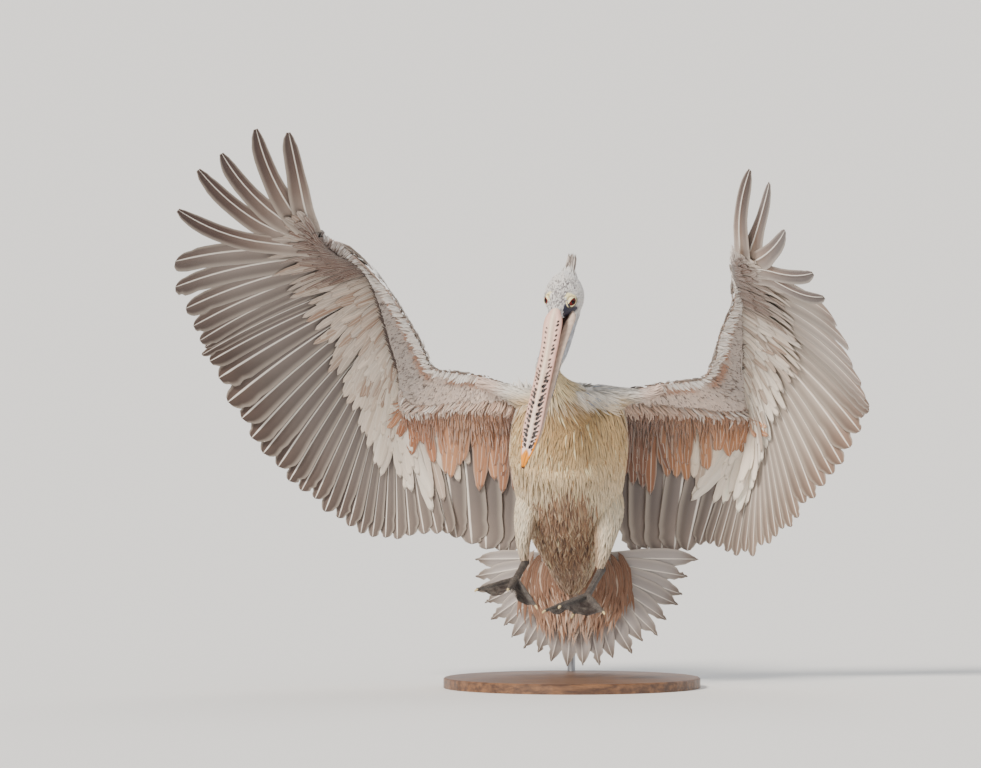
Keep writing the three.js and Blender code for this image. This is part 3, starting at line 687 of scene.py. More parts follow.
eye_gloss = Finish("eye", Roughness=0.10, Specular_IOR_Level=0.20, Coat_Weight=0.15, Coat_Roughness=0.03)
eye_gloss.give("Base Color", eye_gloss.tint())
bare = Finish("bare_face_skin", Roughness=0.5)
wrinkle = bare.noise(bare.own_place((1.0, 1.0, 2.2)), 700.0, 3.0)
bare.give("Base Color", bare.mix(wrinkle.step(0.3, 0.7) * 0.25, bare.tint(), paint("9c8a5c")))
bare.bump(wrinkle, 0.0006)
head_places = np.linspace(0, len(HEAD) - 1, 90)[:, None]
head_surface = head_form(head_places, np.linspace(0, ALL_ROUND, 180)[None, :])[0].reshape(-1, 3)
for side in ("right", "left"):
    axes = eye_axes(side)
    fit(eyeball("eyeball_" + side, *axes), eye_gloss.material, "eye", "eye_" + side)
    fit(eyelids("eyelids_" + side, axes), bare.material, "pouch_skin")

# Feathers: each one is a closed vane, a stack of four-point rings (left edge, ridge, right edge,
# under side) drawn to a point at both ends. They are rooted in staggered rows on the forms of
# the body and follow those forms as they run back.
RING = np.array([[-1.0, 0.0], [0.0, 1.0], [1.0, 0.0], [0.0, -0.7]])
BROAD = [(0.12, 0.55), (0.45, 0.95), (0.76, 1.0), (0.93, 0.62)]
BLUNT = [(0.14, 0.70), (0.55, 1.0), (0.88, 0.72)]
LANCE = [(0.12, 0.65), (0.38, 1.0), (0.68, 0.66), (0.88, 0.28)]
TINY = [(0.2, 0.85), (0.68, 0.85)]
SOFT = [(0.10, 0.60), (0.40, 1.0), (0.75, 0.80), (0.93, 0.36)]
PATCH = 0.003
FINE = 500
LOOSE = 0.28
draw = np.random.default_rng(41)


def run_of(points):
    """How far each of a line of points lies along it."""
    return np.concatenate([[0], np.cumsum(np.linalg.norm(np.diff(points, axis=0), axis=1))])


def spots(line, rows, gap, low, high):
    """Roots of feathers in rows: line(row, t) is the row's line as t runs from low to high. They
    lie a gap apart along it, every other row half a gap over, each a little out of place."""
    fine = np.linspace(low, high, FINE)
    found_row, found_t = [], []
    for k, row in enumerate(rows):
        run = run_of(line(np.full(FINE, row), fine))
        count = max(int(run[-1] / gap), 1)
        at = np.arange(count) + 0.25 + 0.5 * (k % 2) + draw.uniform(-LOOSE, LOOSE, count)
        found_t.append(np.interp(at * run[-1] / count, run, fine))
        found_row.append(np.full(count, row))
    return np.concatenate(found_row), np.concatenate(found_t)


def rooted(form, line_turn, row_gap, low, high, gap):
    """Roots all round a form, a gap apart in rows that lie a row gap apart along its line at one
    turn: their places, turns and points."""
    fine = np.linspace(low, high, FINE)
    run = run_of(form(fine, np.full(FINE, line_turn))[0])
    rows = np.interp(np.arange(row_gap / 2, run[-1], row_gap), run, fine)
    place, turn = spots(lambda r, t: form(r, t)[0], rows, gap, 0, ALL_ROUND)
    return place, turn, form(place, turn)[0]


def vanes(path, up, half, ridge, tint, root_at, section=RING, spans=None, shade=(0.75, 1.0, 1.05),
          edge=1.0, shaft=1.0):
    """Closed vanes from the line of each one's shaft (count, rows, 3), the way its upper side
    faces, half widths for the inner rows, and a tint. spans are the rows' shares of the length.
    The tint's gains at the root, middle and tip are painted shade and light: darker at the root,
    where the feathers over it would shade it, and mostly lighter at the open tip. edge and shaft
    are its gains across; an edge gain below 1 is partly the vane's own darker edge and partly
    painted shade between neighbouring vanes."""
    count, rows = path.shape[:2]
    u = np.linspace(0, 1, rows) if spans is None else spans
    sides = len(section)
    along = unit(np.gradient(path, axis=1))
    across = unit(np.cross(along, up))
    over = np.cross(across, along)
    lean, height = section[:, 0], section[:, 1]
    half = np.broadcast_to(half[..., None] if half.ndim == 2 else half, (count, rows - 2, sides))
    shift = across[:, 1:-1, None] * (half * lean)[..., None]
    ridge = np.asarray(ridge, float)
    ridge = ridge[..., None] if ridge.ndim == 2 else ridge.reshape(-1, 1, 1)
    rings = path[:, 1:-1, None] + shift + over[:, 1:-1, None] * (ridge * height)[..., None]
    points = np.concatenate([path[:, :1], rings.reshape(count, -1, 3), path[:, -1:]], axis=1)
    quads, tris = ring_faces(rows - 2, sides)
    start = (points.shape[1] * np.arange(count))[:, None, None]
    ring_u = np.repeat(u[1:-1], sides)
    vane = np.column_stack([
        np.concatenate([[0.5], np.tile(0.5 + 0.5 * lean, rows - 2), [0.5]]),
        np.concatenate([[0.0], ring_u, [1.0]]),
    ])
    # painted shade along the vane, then the gain across it
    gain = np.interp(vane[:, 1], [0, 0.5, 1], shade)
    gain = gain * np.interp(np.abs(2 * vane[:, 0] - 1), [0, 1], [shaft, edge])
    colour = tint[:, None] if tint.ndim == 2 else tint
    colour = np.clip(colour * gain[None, :, None], 0, 1)
    vane = np.broadcast_to(vane, (count, *vane.shape))
    place = root_at[:, None] * (1 - PATCH) + vane * PATCH
    return {
        "points": points.reshape(-1, 3), "quads": (quads[None] + start).reshape(-1, 4),
        "tris": (tris[None] + start).reshape(-1, 3), "vane": vane.reshape(-1, 2),
        "bake": place.reshape(-1, 2), "tint": colour.reshape(-1, 3),
    }


def lay(form, place, turn, way, length, width, tint, frame_of, outline, rise,
        ridge=0.05, roll=0.12, bend=0.04, **looks):
    """Vanes laid over a form from their roots at (place, turn): each runs the way given, two
    steps per feather in the form's own measures, for its length, and lifts from the skin by
    rise from root to tip, bent to one side or the other by about the share bend of its length.
    frame_of is the form's range, for the map of the bake."""
    count = len(place)
    step = [np.broadcast_to(w, count) for w in way]
    ahead = form(place + 0.02 * step[0], turn + 0.02 * step[1])[0] - form(place, turn)[0]
    reach = length / np.maximum(np.linalg.norm(ahead, axis=-1) / 0.02, 1e-6)
    u = np.concatenate([[0.0], [row[0] for row in outline], [1.0]])
    for _ in range(3):
        far = [(reach * s)[:, None] * u for s in step]
        path, up = form(place[:, None] + far[0], turn[:, None] + far[1])
        run = np.linalg.norm(np.diff(path, axis=1), axis=-1).sum(1)
        reach = reach * np.clip(length / np.maximum(run, 1e-3), 0.2, 3.0)
    side = unit(np.cross(path[:, -1] - path[:, 0], up[:, 0]))
    path = path + side[:, None] * ((length * draw.normal(0, bend, count))[:, None] * u ** 2)[..., None]
    low, high = (np.broadcast_to(r, count)[:, None] for r in rise)
    path = path + up * (low + (high - low) * u)[..., None]
    lean = draw.normal(0, roll, count)[:, None, None]
    up = unit(up + np.cross(unit(np.gradient(path, axis=1)), up) * lean)
    half = 0.5 * np.broadcast_to(width, count)[:, None] * np.array([row[1] for row in outline])
    (p0, p1), (t0, t1) = frame_of
    root_at = np.column_stack([((turn - t0) / (t1 - t0)) % 1.0, np.clip((place - p0) / (p1 - p0), 0, 1)])
    return vanes(path, up, half, ridge * np.broadcast_to(width, count), tint, root_at, spans=u, **looks)


def coat(name, groups, material, slot="body_feathers", replaced=(), smooth=False):
    """One piece of coat from groups of vanes; the small ones keep a crisp fold at the shaft."""
    vane, bake, tint = (np.concatenate([g[key] for g in groups]) for key in ("vane", "bake", "tint"))
    solid = together([(g["points"], g["quads"], g["tris"]) for g in groups])
    made = whole(name, *solid, {"vane": vane, "OFBake": bake}, tint, smooth)
    made.data.uv_layers.active = made.data.uv_layers["vane"]
    fit(made, material, slot, *replaced)


def feather_finish(name, shaft_colour, shaft_share, fringe_colour, fringe_share, barb=0.6):
    """Feather horn: the tint of the mesh, a paler shaft line, a fringe along the edges, and fine
    barbs that run out and forward from the shaft, as bump and as a slight streak."""
    made = Finish(name, Roughness=0.78, Sheen_Weight=0.25, Sheen_Roughness=0.5)
    across, along = made.map_axes("vane")
    off = (across - 0.5).math("ABSOLUTE")
    streak = made.add(
        "ShaderNodeCombineXYZ", {}, {0: across * 2.0, 1: along * 60.0 - off * 50.0, 2: 0.0},
    ).outputs[0]
    barbs = made.noise(streak, 1.6, 2.0)
    colour = made.mix((barbs - 0.5).math("ABSOLUTE") * barb, made.tint(), paint("3b302b"))
    colour = made.mix(off.step(0.30, 0.48) * fringe_share, colour, fringe_colour)
    colour = made.mix((1.0 - off.step(0.015, 0.05)) * shaft_share, colour, shaft_colour)
    made.give("Base Color", colour)
    made.bump(barbs, 0.0006, 0.6)
    return made.material


contour = feather_finish("contour_feather", paint("efe6d6"), 0.15, paint("efe7da"), 0.12)


def plain(code, count):
    """The same colour for each of count feathers."""
    return np.tile(paint(code), (count, 1))


def vary(tint, amount, count):
    """The tint made lighter or darker for each feather, and a little warmer or cooler."""
    gain = np.exp(draw.normal(0, amount, count))[:, None]
    warm = draw.normal(0, amount * 0.25, count)[:, None] * np.array([1.0, 0.0, -1.0])
    return np.clip(tint * gain * (1 + warm), 0, 1)


# Head and neck coat: very short plush feathers that lie back from the bill over the crown and
# down the neck, white with dark ticks on the forehead, and longer at the nape.
def ticked(tint, share, colour):
    """Some feathers of a group in another colour: share is the chance for each one."""
    mask = draw.random(len(tint)) < share
    return np.where(mask[:, None], colour, tint)


def clear_of_eyes(point):
    """True where a root lies outside the bare skin round the eyes, the slaty lores and the bill."""
    clear = np.linalg.norm(point - np.array([-31.0, -201.0, 653.0]), axis=-1) > 15.0
    for side, centre in EYES.items():
        brow = np.array([3.0 if side == "right" else -3.0, 0.0, 3.5])
        clear &= np.linalg.norm(point - np.array(centre), axis=-1) > 12.5
        clear &= np.linalg.norm(point - brow - np.array(centre), axis=-1) > 13.5
    for centre, reach, _ in LORES:
        clear &= np.linalg.norm((point - np.array(centre, float)) / np.array(reach, float), axis=-1) > 1.0
    return clear


place, turn, root = rooted(head_form, -np.pi / 2, 2.9, 0.5, 6.9, 2.7)
keep = clear_of_eyes(root)
place, turn, root = place[keep], turn[keep], root[keep]
count = len(place)
off = np.abs((root - np.array([-22.0, -180.0, 680.0])) @ unit(np.array(HEAD_SIDE)))
brow = ease(root[:, 2], 664, 674) * ease(root[:, 2], 726, 712)
brow = brow * ease(root[:, 1], -118, -135) * ease(off, 25, 14)
tint = vary(body_tint(root), 0.05, count)
smudge = draw.random(count) < 0.42 * brow + 0.03
tint = toward(tint, paint("6b6468"), smudge * draw.uniform(0.3, 1.0, count))
size = np.interp(place, [0.5, 2, 4, 6.5], [3.6, 4.8, 6.0, 8.0])
crown = ease(np.linalg.norm(root - np.array([-8.0, -124.0, 734.0]), axis=1), 22, 8)
size = size * (1 + 0.9 * crown)
head_coat = lay(
    head_form, place, turn, (1.0, draw.normal(0, 0.25, count)), size, 0.46 * size + 0.4, tint,
    ((0, 7), (0, ALL_ROUND)), TINY, (0.1, 1.5 + 4.5 * crown), ridge=0.10, edge=0.94,
)
# the crown's peak, below the crest
count = 140
around = draw.uniform(0, ALL_ROUND, count)
ring = np.column_stack([np.cos(around), np.sin(around), 0 * around])
root = np.array([-9.0, -132.0, 720.0]) + ring * draw.uniform(10, 20, (count, 1)) * [1.0, 0.9, 0.0]
tip = np.array([-6.0, -124.0, 744.0]) + ring * [6.5, 5.0, 0.0]
u = np.linspace(0, 1, 6)[None, :, None]
path = root[:, None] + (tip - root)[:, None] * u * draw.uniform(0.6, 1.0, (count, 1, 1))
path = path - np.array([0, 0, 5.0]) * (1 - u) ** 2
up = np.broadcast_to((ring + np.array([0, 0, 0.4]))[:, None], path.shape)
half = 2.1 * np.array([0.8, 1.0, 0.9, 0.5])[None, :] * np.ones((count, 1))
where = np.column_stack([around / ALL_ROUND, 0.62 + 0 * around])
peak = vanes(path, up, half, 0.25, vary(plain("dcd8d4", count), 0.04, count), where)
coat("head_feathers", [head_coat, peak], contour)

place, turn, root = rooted(neck_form, 0.0, 3.8, 2.0, 6.9, 3.2)
count = len(place)
tint = ticked(vary(body_tint(root), 0.06, count), 0.06 * (np.sin(turn) > 0.2), paint("a19f9c"))
size = np.interp(place, [2, 3, 5, 7], [16, 12, 9, 7.5])
neck_coat = lay(
    neck_form, place, turn, (-1.0, draw.normal(0, 0.16, count)), size, 0.26 * size + 1.0, tint,
    ((0, 7), (0, ALL_ROUND)), BLUNT, (0.3, 2.6), ridge=0.07, edge=0.95, shaft=1.03,
)
coat("neck_feathers", [neck_coat], contour)

# Trunk coat: lance-shaped golden feathers that fan out from the foot of the neck over the breast,
# matted brown ones low on the belly, broad whitish ones over the back, and small soft ones over
# the shoulders.
BIB = [
    [-6, -2, 376, 101, 98], [-8, -37, 434, 101, 98], [-20, -80, 482, 72, 64], [-33, -112, 516, 42, 45],
    [-41, -132, 546, 24, 34], [-42, -141, 568, 22, 30], [-31, -139, 598, 25, 29],
]
BIB_COAT = 4.0
BLUE_TICK = "8d96a8"
TUFT_MAP = (0.25, 0.4)


def chest_colours(root, belly):
    """Tints for trunk feathers: golden with deeper and paler ones among them, and brown ones
    where the belly is soiled."""
    count = len(root)
    tint = vary(body_tint(root), 0.06, count)
    tint = ticked(tint, 0.05 * belly, paint("e3d0a2"))
    tint = ticked(tint, 0.08 * belly * ease(root[:, 2], 380, 430), paint("9a7444"))
    soil = soil_share(root[:, 0], root[:, 2]) * (np.sin(0.9 * root[:, 0]) * 0.15 + 0.95) * belly
    browns = np.array([paint(c) for c in ("8c674a", "9c7757", "6c4d38", "ab8d6e", "bfa585", "8f6d50")])
    brown = vary(browns[draw.integers(0, 6, count)], 0.08, count)
    brown = toward(brown, paint("b9aa9b"), 0.35 * ease(root[:, 2], 250, 190))
    return np.where((draw.random(count) < soil)[:, None], brown, tint)


place, turn, root = rooted(trunk_form, np.pi / 2, 6.6, 0.15, 8.9, 4.9)
belly = np.sin(turn) > -0.15
groups = []
for on_belly in (True, False):
    here = belly == on_belly
    p, t, r = place[here], turn[here], root[here]
    count = len(p)
    size = np.interp(p, [0, 1, 3, 6, 8, 9], [26, 38, 43, 37, 34, 42]) * draw.uniform(0.8, 1.2, count)
    if on_belly:
        low = ease(r[:, 2], 330, 260)
        stray = draw.normal(0, 0.045 + 0.10 * low, count)
        groups.append(lay(
            trunk_form, p, t, (1.0, stray), size, (0.11 + 0.06 * low) * size + 0.4, chest_colours(r, 1.0),
            ((0, 9), (0, ALL_ROUND)), LANCE, (0.4, 5.0 + 3.0 * low), ridge=0.12, edge=0.60, shaft=1.16,
            shade=(0.44, 1.0, 1.12), roll=0.22, bend=0.08,
        ))
    else:
        tint = ticked(chest_colours(r, 0.0), 0.10, paint("a09b98"))
        groups.append(lay(
            trunk_form, p, t, (1.0, draw.normal(0, 0.06, count)), size * 0.9, 0.34 * size, tint,
            ((0, 9), (0, ALL_ROUND)), BROAD, (0.4, 5.0), ridge=0.04, edge=1.06, shaft=0.86,
            shade=(0.7, 0.97, 1.06),
        ))
coat("breast_feathers", groups[:1], contour)
coat("back_feathers", groups[1:], contour)

bib_form = oval_form(BIB, BODY_SIDE, -BIB_COAT)
place, turn, root = rooted(bib_form, -np.pi / 2, 5.2, 1.0, 5.6, 4.6)
count = len(place)
size = np.interp(place, [1, 2, 3, 4, 5.6], [42, 42, 36, 26, 15]) * draw.uniform(0.85, 1.15, count)
tint = chest_colours(root, np.sin(turn) < 0.4)
bib = lay(
    bib_form, place, turn, (-1.0, draw.normal(0, 0.03, count)), size, 0.10 * size + 0.7, tint,
    ((0, 6), (0, ALL_ROUND)), LANCE, (0.5, 4.5), ridge=0.12, edge=0.60, shaft=1.16,
    shade=(0.40, 1.0, 1.12), roll=0.22, bend=0.08,
)
coat("bib_feathers", [bib], contour)


def raised_tufts():
    """A few short white feathers that stand up off the top of the right shoulder."""
    count = 26
    root = np.array([-80.0, -62.0, 522.0]) + draw.normal(0, 1, (count, 3)) * [8, 5, 3]
    ahead = unit(np.array([-0.45, 0.0, 1.0]) + draw.normal(0, 0.3, (count, 3)))
    u = np.linspace(0, 1, 6)[None, :, None]
    path = root[:, None] + ahead[:, None] * draw.uniform(12, 24, (count, 1, 1)) * u
    up = np.broadcast_to(np.array([0.1, -1.0, 0.2]), path.shape)
    half = 1.9 * np.array([0.7, 1.0, 0.8, 0.4])[None, :] * np.ones((count, 1))
    where = np.tile(TUFT_MAP, (count, 1))
    return vanes(path, up, half, 0.3, vary(plain("efebe6", count), 0.04, count), where)


def sweeping_feathers():
    """Longer feathers that sweep down and out from the foot of the neck over the join of the
    left shoulder with the breast, each following the skin just in front of it."""
    count = 170
    root_x = draw.uniform(4, 64, count)
    root_z = np.minimum(526 - 0.34 * root_x + draw.normal(0, 8, count), 524)
    steep = np.radians(np.interp(root_x, [4, 64], [40, 14])) + draw.normal(0, 0.12, count)
    size = draw.uniform(24, 40, count)[:, None]
    u = np.linspace(0, 1, 7)[None, :]
    x = root_x[:, None] + size * u * np.cos(steep)[:, None]
    z = root_z[:, None] - size * u * np.sin(steep)[:, None]
    near = (np.abs(flesh[:, 0] - 45) < 75) & (np.abs(flesh[:, 2] - 485) < 65) & (flesh[:, 1] < -30)
    chest = flesh[near]
    off = np.hypot(x[..., None] - chest[:, 0], z[..., None] - chest[:, 2])
    y = np.where(off < 5.5, chest[:, 1], 0.0).min(axis=-1)
    for _ in range(3):
        y[:, 1:-1] = 0.25 * y[:, :-2] + 0.5 * y[:, 1:-1] + 0.25 * y[:, 2:]
    path = np.stack([x, y - 3.0 - 4.5 * u, z], axis=-1)
    up = np.broadcast_to(unit(np.array([0.25, -1.0, 0.35])), path.shape)
    half = 1.8 * np.array([0.6, 1.0, 1.0, 0.8, 0.4])[None, :] * np.ones((count, 1))
    pale = toward(body_tint(path[:, 0]), paint("ebe3d5"), np.full(count, 0.45))
    pale = ticked(vary(pale, 0.06, count), 0.14 * (root_z > 508), paint(BLUE_TICK))
    where = np.tile(TUFT_MAP, (count, 1))
    return vanes(path, up, half, 0.5, pale, where, shade=(0.62, 1.0, 1.08), edge=0.72, shaft=1.12)


for side, form in shoulder_forms.items():
    place, turn, root = rooted(form, np.pi / 2, 4.6, 0.5, 3.8, 4.0)
    count = len(place)
    ahead, below = (form(np.array([2.0]), np.array([t]))[0][0, 2] for t in (0.1, -0.1))
    fall = np.sign(below - ahead) * np.cos(turn)
    blue = 0.16 * (root[:, 2] > 516) * (np.abs(root[:, 0] - 22) < 30)
    white = ticked(vary(body_tint(root), 0.05, count), blue, paint(BLUE_TICK))
    way = 0.9, 0.35 * fall + draw.normal(0, 0.14, count)
    shoulder = lay(
        form, place, turn, way, draw.uniform(15, 24, count), 3.6, white, ((0, 4), (0, ALL_ROUND)), LANCE,
        (0.4, 3.6), ridge=0.09, edge=0.80, shaft=1.08, shade=(0.60, 1.0, 1.08),
    )
    longer = raised_tufts() if side == "right" else sweeping_feathers()
    coat("shoulder_feathers_" + side, [shoulder, longer], contour)

# Thigh coat: soft cream feathers that lie down the leg to the bare shank, with painted shade
# that browns their inner side, and browner low down.
for side, rows_of in THIGHS.items():
    place, turn, root = rooted(thigh_forms[side], np.pi, 5.2, 0.1, 3.6, 4.6)
    count = len(place)
    middle = np.interp(place, range(5), [row[0] for row in rows_of])
    inward = (root[:, 0] - middle) / np.interp(place, range(5), [row[3] for row in rows_of])
    inward = inward * (1 if side == "right" else -1)
    # painted shade: browner toward the inner side of the thigh
    tint = toward(plain("d3c3a8", count), paint("94704f"), 0.8 * ease(inward, 0.1, 0.8))
    tint = toward(tint, paint("b58e6e"), 0.5 * ease(place, 1.6, 3.2))
    tint = vary(toward(tint, body_tint(root), ease(place, 1.4, 0.3)), 0.10, count)
    size = np.interp(place, [0, 2, 4], [24, 19, 12])
    thigh = lay(
        thigh_forms[side], place, turn, (1.0, draw.normal(0, 0.12, count)), size, 0.30 * size, tint,
        ((0, 4), (0, ALL_ROUND)), LANCE, (0.3, 3.6), ridge=0.10, edge=0.68, shaft=1.12,
    )
    coat("thigh_feathers_" + side, [thigh], contour)

# Bill: a long flat upper bill with a ridge down its middle, two rows of blue-black spots and a
# small orange nail; the two thin bars of the lower bill, and the bare pouch slung between them.
UPPER_BILL = [
    [-28, -200, 670, 4, 4], [-30, -204, 663, 10.5, 8], [-34, -209, 645, 17, 10.5],
    [-42, -226, 596, 15.4, 9], [-58, -252, 524, 15.8, 7], [-71, -274, 464, 16.6, 6.5],
    [-78, -286, 432, 12.6, 5.5], [-83, -292, 414, 7.5, 4.5], [-85.5, -295, 402, 4.0, 4],
    [-86.5, -296, 396, 1.5, 3],
]
LOWER_BILL = [
    [-6, -172, 665, 9, 6], [-10, -180, 655, 17, 8], [-20, -191, 636, 20, 8], [-35, -215, 588, 18.5, 6],
    [-54, -241, 514, 17, 5], [-70, -265, 450, 15.0, 4.5], [-77, -278, 426, 10, 4],
    [-80, -284, 414, 5, 3],
]
POUCH = [
    [-15, -166, 656, 10, 8], [-18, -172, 630, 14, 12], [-31, -196, 588, 14.5, 12],
    [-48.5, -221, 524, 15, 10], [-56, -236, 490, 10, 6], [-62, -246, 466, 5, 4],
]
SPOT_GAP = 8.6
SPOTS_END = 34


def dome(x):
    """The height of a half circle over x, which is its middle at 0 and its foot at 1 or -1."""
    return np.sqrt(np.maximum(1 - x * x, 0))


def upper_profile(x, s, v):
    """Flat roof with a rounded ridge, a groove each side of it and edges turned down."""
    shaped = ease(v, 0.05, 0.34)
    roof = (0.90 - 0.30 * shaped) * dome(x)
    roof = roof + shaped * (0.34 * hump(x, 0.20) - 0.16 * hump(np.abs(x) - 0.40, 0.13))
    hook = ease(v, 0.90, 1.0)
    roof = roof + hook * 0.25 * hump(x, 0.5)
    return np.where(s >= 0, roof, -0.40 * dome(x) - 0.6 * hook)


def lower_profile(x, s, v):
    """Two rounded bars at the sides joined by a thin floor."""
    bar = hump(np.abs(x) - 0.70, 0.42)
    return np.where(s >= 0, 0.10 + 0.55 * bar, -0.15 - 0.75 * bar) * np.sqrt(np.maximum(1 - x ** 6, 0.02))


def pouch_profile(x, s, v):
    """A slack bag: flat against the bill, hanging round below with slight lengthwise folds."""
    return np.where(s >= 0, 0.35, -1 - 0.05 * np.cos(9 * x)) * dome(x)


def bill_piece(name, stations, profile, rows_count, sides, colour_of):
    """Meshes one part of the bill. At each point x is the share of the half width, drawn out
    toward the edges, s is above 0 on the upper side and v is the share of the length. The
    profile(x, s, v) gives the height as a share of the half depth, and colour_of the tint."""
    last = len(stations) - 1
    place = np.linspace(0, last, rows_count)[:, None] + np.zeros((1, sides))
    turn = np.linspace(0, ALL_ROUND, sides, endpoint=False)[None, :] + np.zeros((rows_count, 1))
    here, across, over = chain(stations, HEAD_SIDE)(place)
    x, s, v = np.sign(np.cos(turn)) * np.abs(np.cos(turn)) ** 0.85, np.sin(turn), place / last
    grid = here[..., :3] + across * (here[..., 3] * x)[..., None]
    grid = grid + over * (here[..., 4] * profile(x, s, v))[..., None]
    colour = colour_of(x, s, v, run_of(grid.mean(1))[:, None] + 0 * turn, here[..., 3])
    return whole(name, *closed_tube(grid), tint=tube_tint(colour))


def upper_colour(x, s, v, along, wide):
    """Flesh pink, cream on the ridge, with rows of dark spots that grow and crowd to the tip."""
    dice = np.random.default_rng(5)
    total = along.max()
    colour = toward(paint("e2b8a8"), paint("f0d9c2"), hump(x, 0.34) * 0.95)
    colour = toward(colour, paint("e3d0d2"), ease(v, 0.45, 0.8) * 0.6)
    colour = toward(colour, paint("cf9b8c"), ease(np.abs(x), 0.76, 1.0) * 0.6)
    colour = toward(colour, paint("e9d4bf"), ease(v, 0.10, 0.0))
    spots_at = []
    for side, first, base_lean, near_base, far in ((-1, 40, 0.50, 1.7, 3.6), (1, 26, 0.72, 2.5, 3.9)):
        run = np.arange(first, total - SPOTS_END, SPOT_GAP)
        run = run + dice.normal(0, 1.0, len(run))
        size = np.interp(run / total, [0, 0.30, 0.6, 1], [near_base, near_base + 0.4, far, far * 0.9])
        lean = np.interp(run / total, [0, 0.25, 0.5], [base_lean, 0.55, 0.45])
        lean = side * (lean + dice.normal(0, 0.02, len(run)))
        spots_at.append(np.column_stack([lean, run, size * dice.uniform(0.8, 1.15, len(run))]))
        split = run[run > total * 0.35] + dice.normal(0, 1.0, (run > total * 0.35).sum()) + SPOT_GAP * 0.5
        lean = side * (0.73 + dice.normal(0, 0.03, len(split)))
        spots_at.append(np.column_stack([lean, split, dice.uniform(0.42, 0.58, len(split)) * far]))
        late = np.arange(total * 0.84, total - SPOTS_END, 5.0)
        lean = side * dice.uniform(0.26, 0.70, len(late))
        spots_at.append(np.column_stack([lean, late, dice.uniform(1.0, 1.6, len(late))]))
    dark = np.zeros(x.shape)
    for lateral, run, size in np.concatenate(spots_at):
        tilt = (along - run) + 0.5 * (np.abs(x) - abs(lateral)) * wide
        away = np.hypot((x - lateral) * wide * 1.05, tilt)
        pinch = size * (1 - 0.30 * np.clip(tilt / size, -1, 1))
        dark = np.maximum(dark, ease(away, pinch + 0.3, pinch - 0.3))
    colour = toward(colour, paint("6f6b86"), hump(x, 0.16) * ease(v, 0.80, 0.86) * 0.6)
    colour = toward(colour, paint("03040c"), dark * (s > 0))
    edge = ease(along, total - 76, total - 44) * ease(np.abs(x), 0.74, 0.88)
    nail = ease(along, total - 38 + 14 * np.abs(x), total - 31 + 14 * np.abs(x))
    colour = toward(colour, paint("e08a08"), np.maximum(edge, nail))
    return toward(colour, paint("3c1d0c"), ease(along, total - 6, total - 1))


def lower_colour(x, s, v, along, wide):
    """Beige horn with dusky streaks, orange at the tip, and dark down the middle of its upper face as
    painted shade in the gap under the upper bill.
    """
    streak = 0.5 + 0.5 * np.sin(along * 0.5 + 9 * x) * np.cos(along * 0.13)
    colour = toward(paint("d3bba8"), paint("a88d7c"), streak)
    colour = toward(paint("d8c4b4"), colour, 0.5 + 0 * v)
    # painted shade in the gap between the upper and lower bill
    colour = toward(colour, paint("33221c"), ease(np.abs(x), 0.30, 0.18) * (s > 0))
    return toward(colour, paint("d08f3c"), ease(v, 0.86, 0.96))


def pouch_colour(x, s, v, along, wide):
    """Bluish grey skin with a warmer cast toward the face."""
    fold = 0.5 + 0.5 * np.sin(9 * x + along * 0.06)
    colour = toward(paint("6f7488"), paint("3d4356"), fold)
    return toward(colour, paint("a7a3ad"), ease(v, 0.25, 0.0) * 0.6)


horn = Finish("bill_horn", Roughness=0.55, Specular_IOR_Level=0.22)
fibre = horn.noise(horn.own_place((1.0, 1.0, 0.25)), 420.0, 4.0)
horn.give("Base Color", horn.mix((fibre - 0.5).math("ABSOLUTE") * 0.7, horn.tint(), paint("7a5a4c")))
horn.give("Roughness", 0.34 + fibre * 0.2)
horn.bump(fibre, 0.0004)
upper_bill = bill_piece("bill_upper_horn", UPPER_BILL, upper_profile, 420, 72, upper_colour)
lower_bill = bill_piece("bill_lower_horn", LOWER_BILL, lower_profile, 120, 48, lower_colour)
pouch = bill_piece("throat_pouch", POUCH, pouch_profile, 120, 48, pouch_colour)
fit(upper_bill, horn.material, "bill", "bill_upper")
fit(lower_bill, horn.material, "bill", "bill_lower")
fit(pouch, horn.material, "pouch_skin", "bill_pouch")

# Legs and feet: bare dark shanks and toes, webbed from the outer toe round to the hind one, and
# let down with the webs half closed. The claws are small, blunt and pale.
LEGS = {
    "right": {"ankle": [-84, -24, 217], "knuckle": [-99, -86, 193],
              "toes": [[-166, -160, 180], [-112, -190, 182], [-64, -146, 151], [-76, -96, 158]]},
    "left": {"ankle": [49, -24, 203], "knuckle": [26, -88, 165],
             "toes": [[54, -166, 141], [-22, -188, 152], [-48, -160, 143], [2, -100, 134]]},
}
SHANK, TOE = [8.6, 7.0, 7.6], [6.4, 5.0, 2.6]
WEB_SAGS = (15, 15, 5)
WEB_HALF = 1.3
FOOT_VOXEL, FOOT_SMOOTHING = 1.25, 4
CLAW_LONG, CLAW_SUNK, CLAW_DROP = 9.5, 2.5, 3.0


def limb(start, end, radii, swell, flat=1.0, top=0.0):
    """A tapered round limb from start to end; swell puts soft knuckles on it and top starts it
    further back inside the leg."""
    along = unit(end - start)
    start = start - along * top
    across = unit(np.cross(along, [0.0, 0.0, 1.0]))
    over = np.cross(across, along)
    u = np.linspace(0, 1, 28)[:, None]
    turn = np.linspace(0, ALL_ROUND, 20, endpoint=False)[None, :]
    radius = np.interp(u, [0, 0.5, 1], radii) + swell * np.maximum(np.cos(u * 6 * np.pi), 0) ** 3
    point = start + (end - start) * u[..., None] + across * (radius * np.cos(turn) * flat)[..., None]
    return closed_tube(point + over * (radius * np.sin(turn))[..., None])


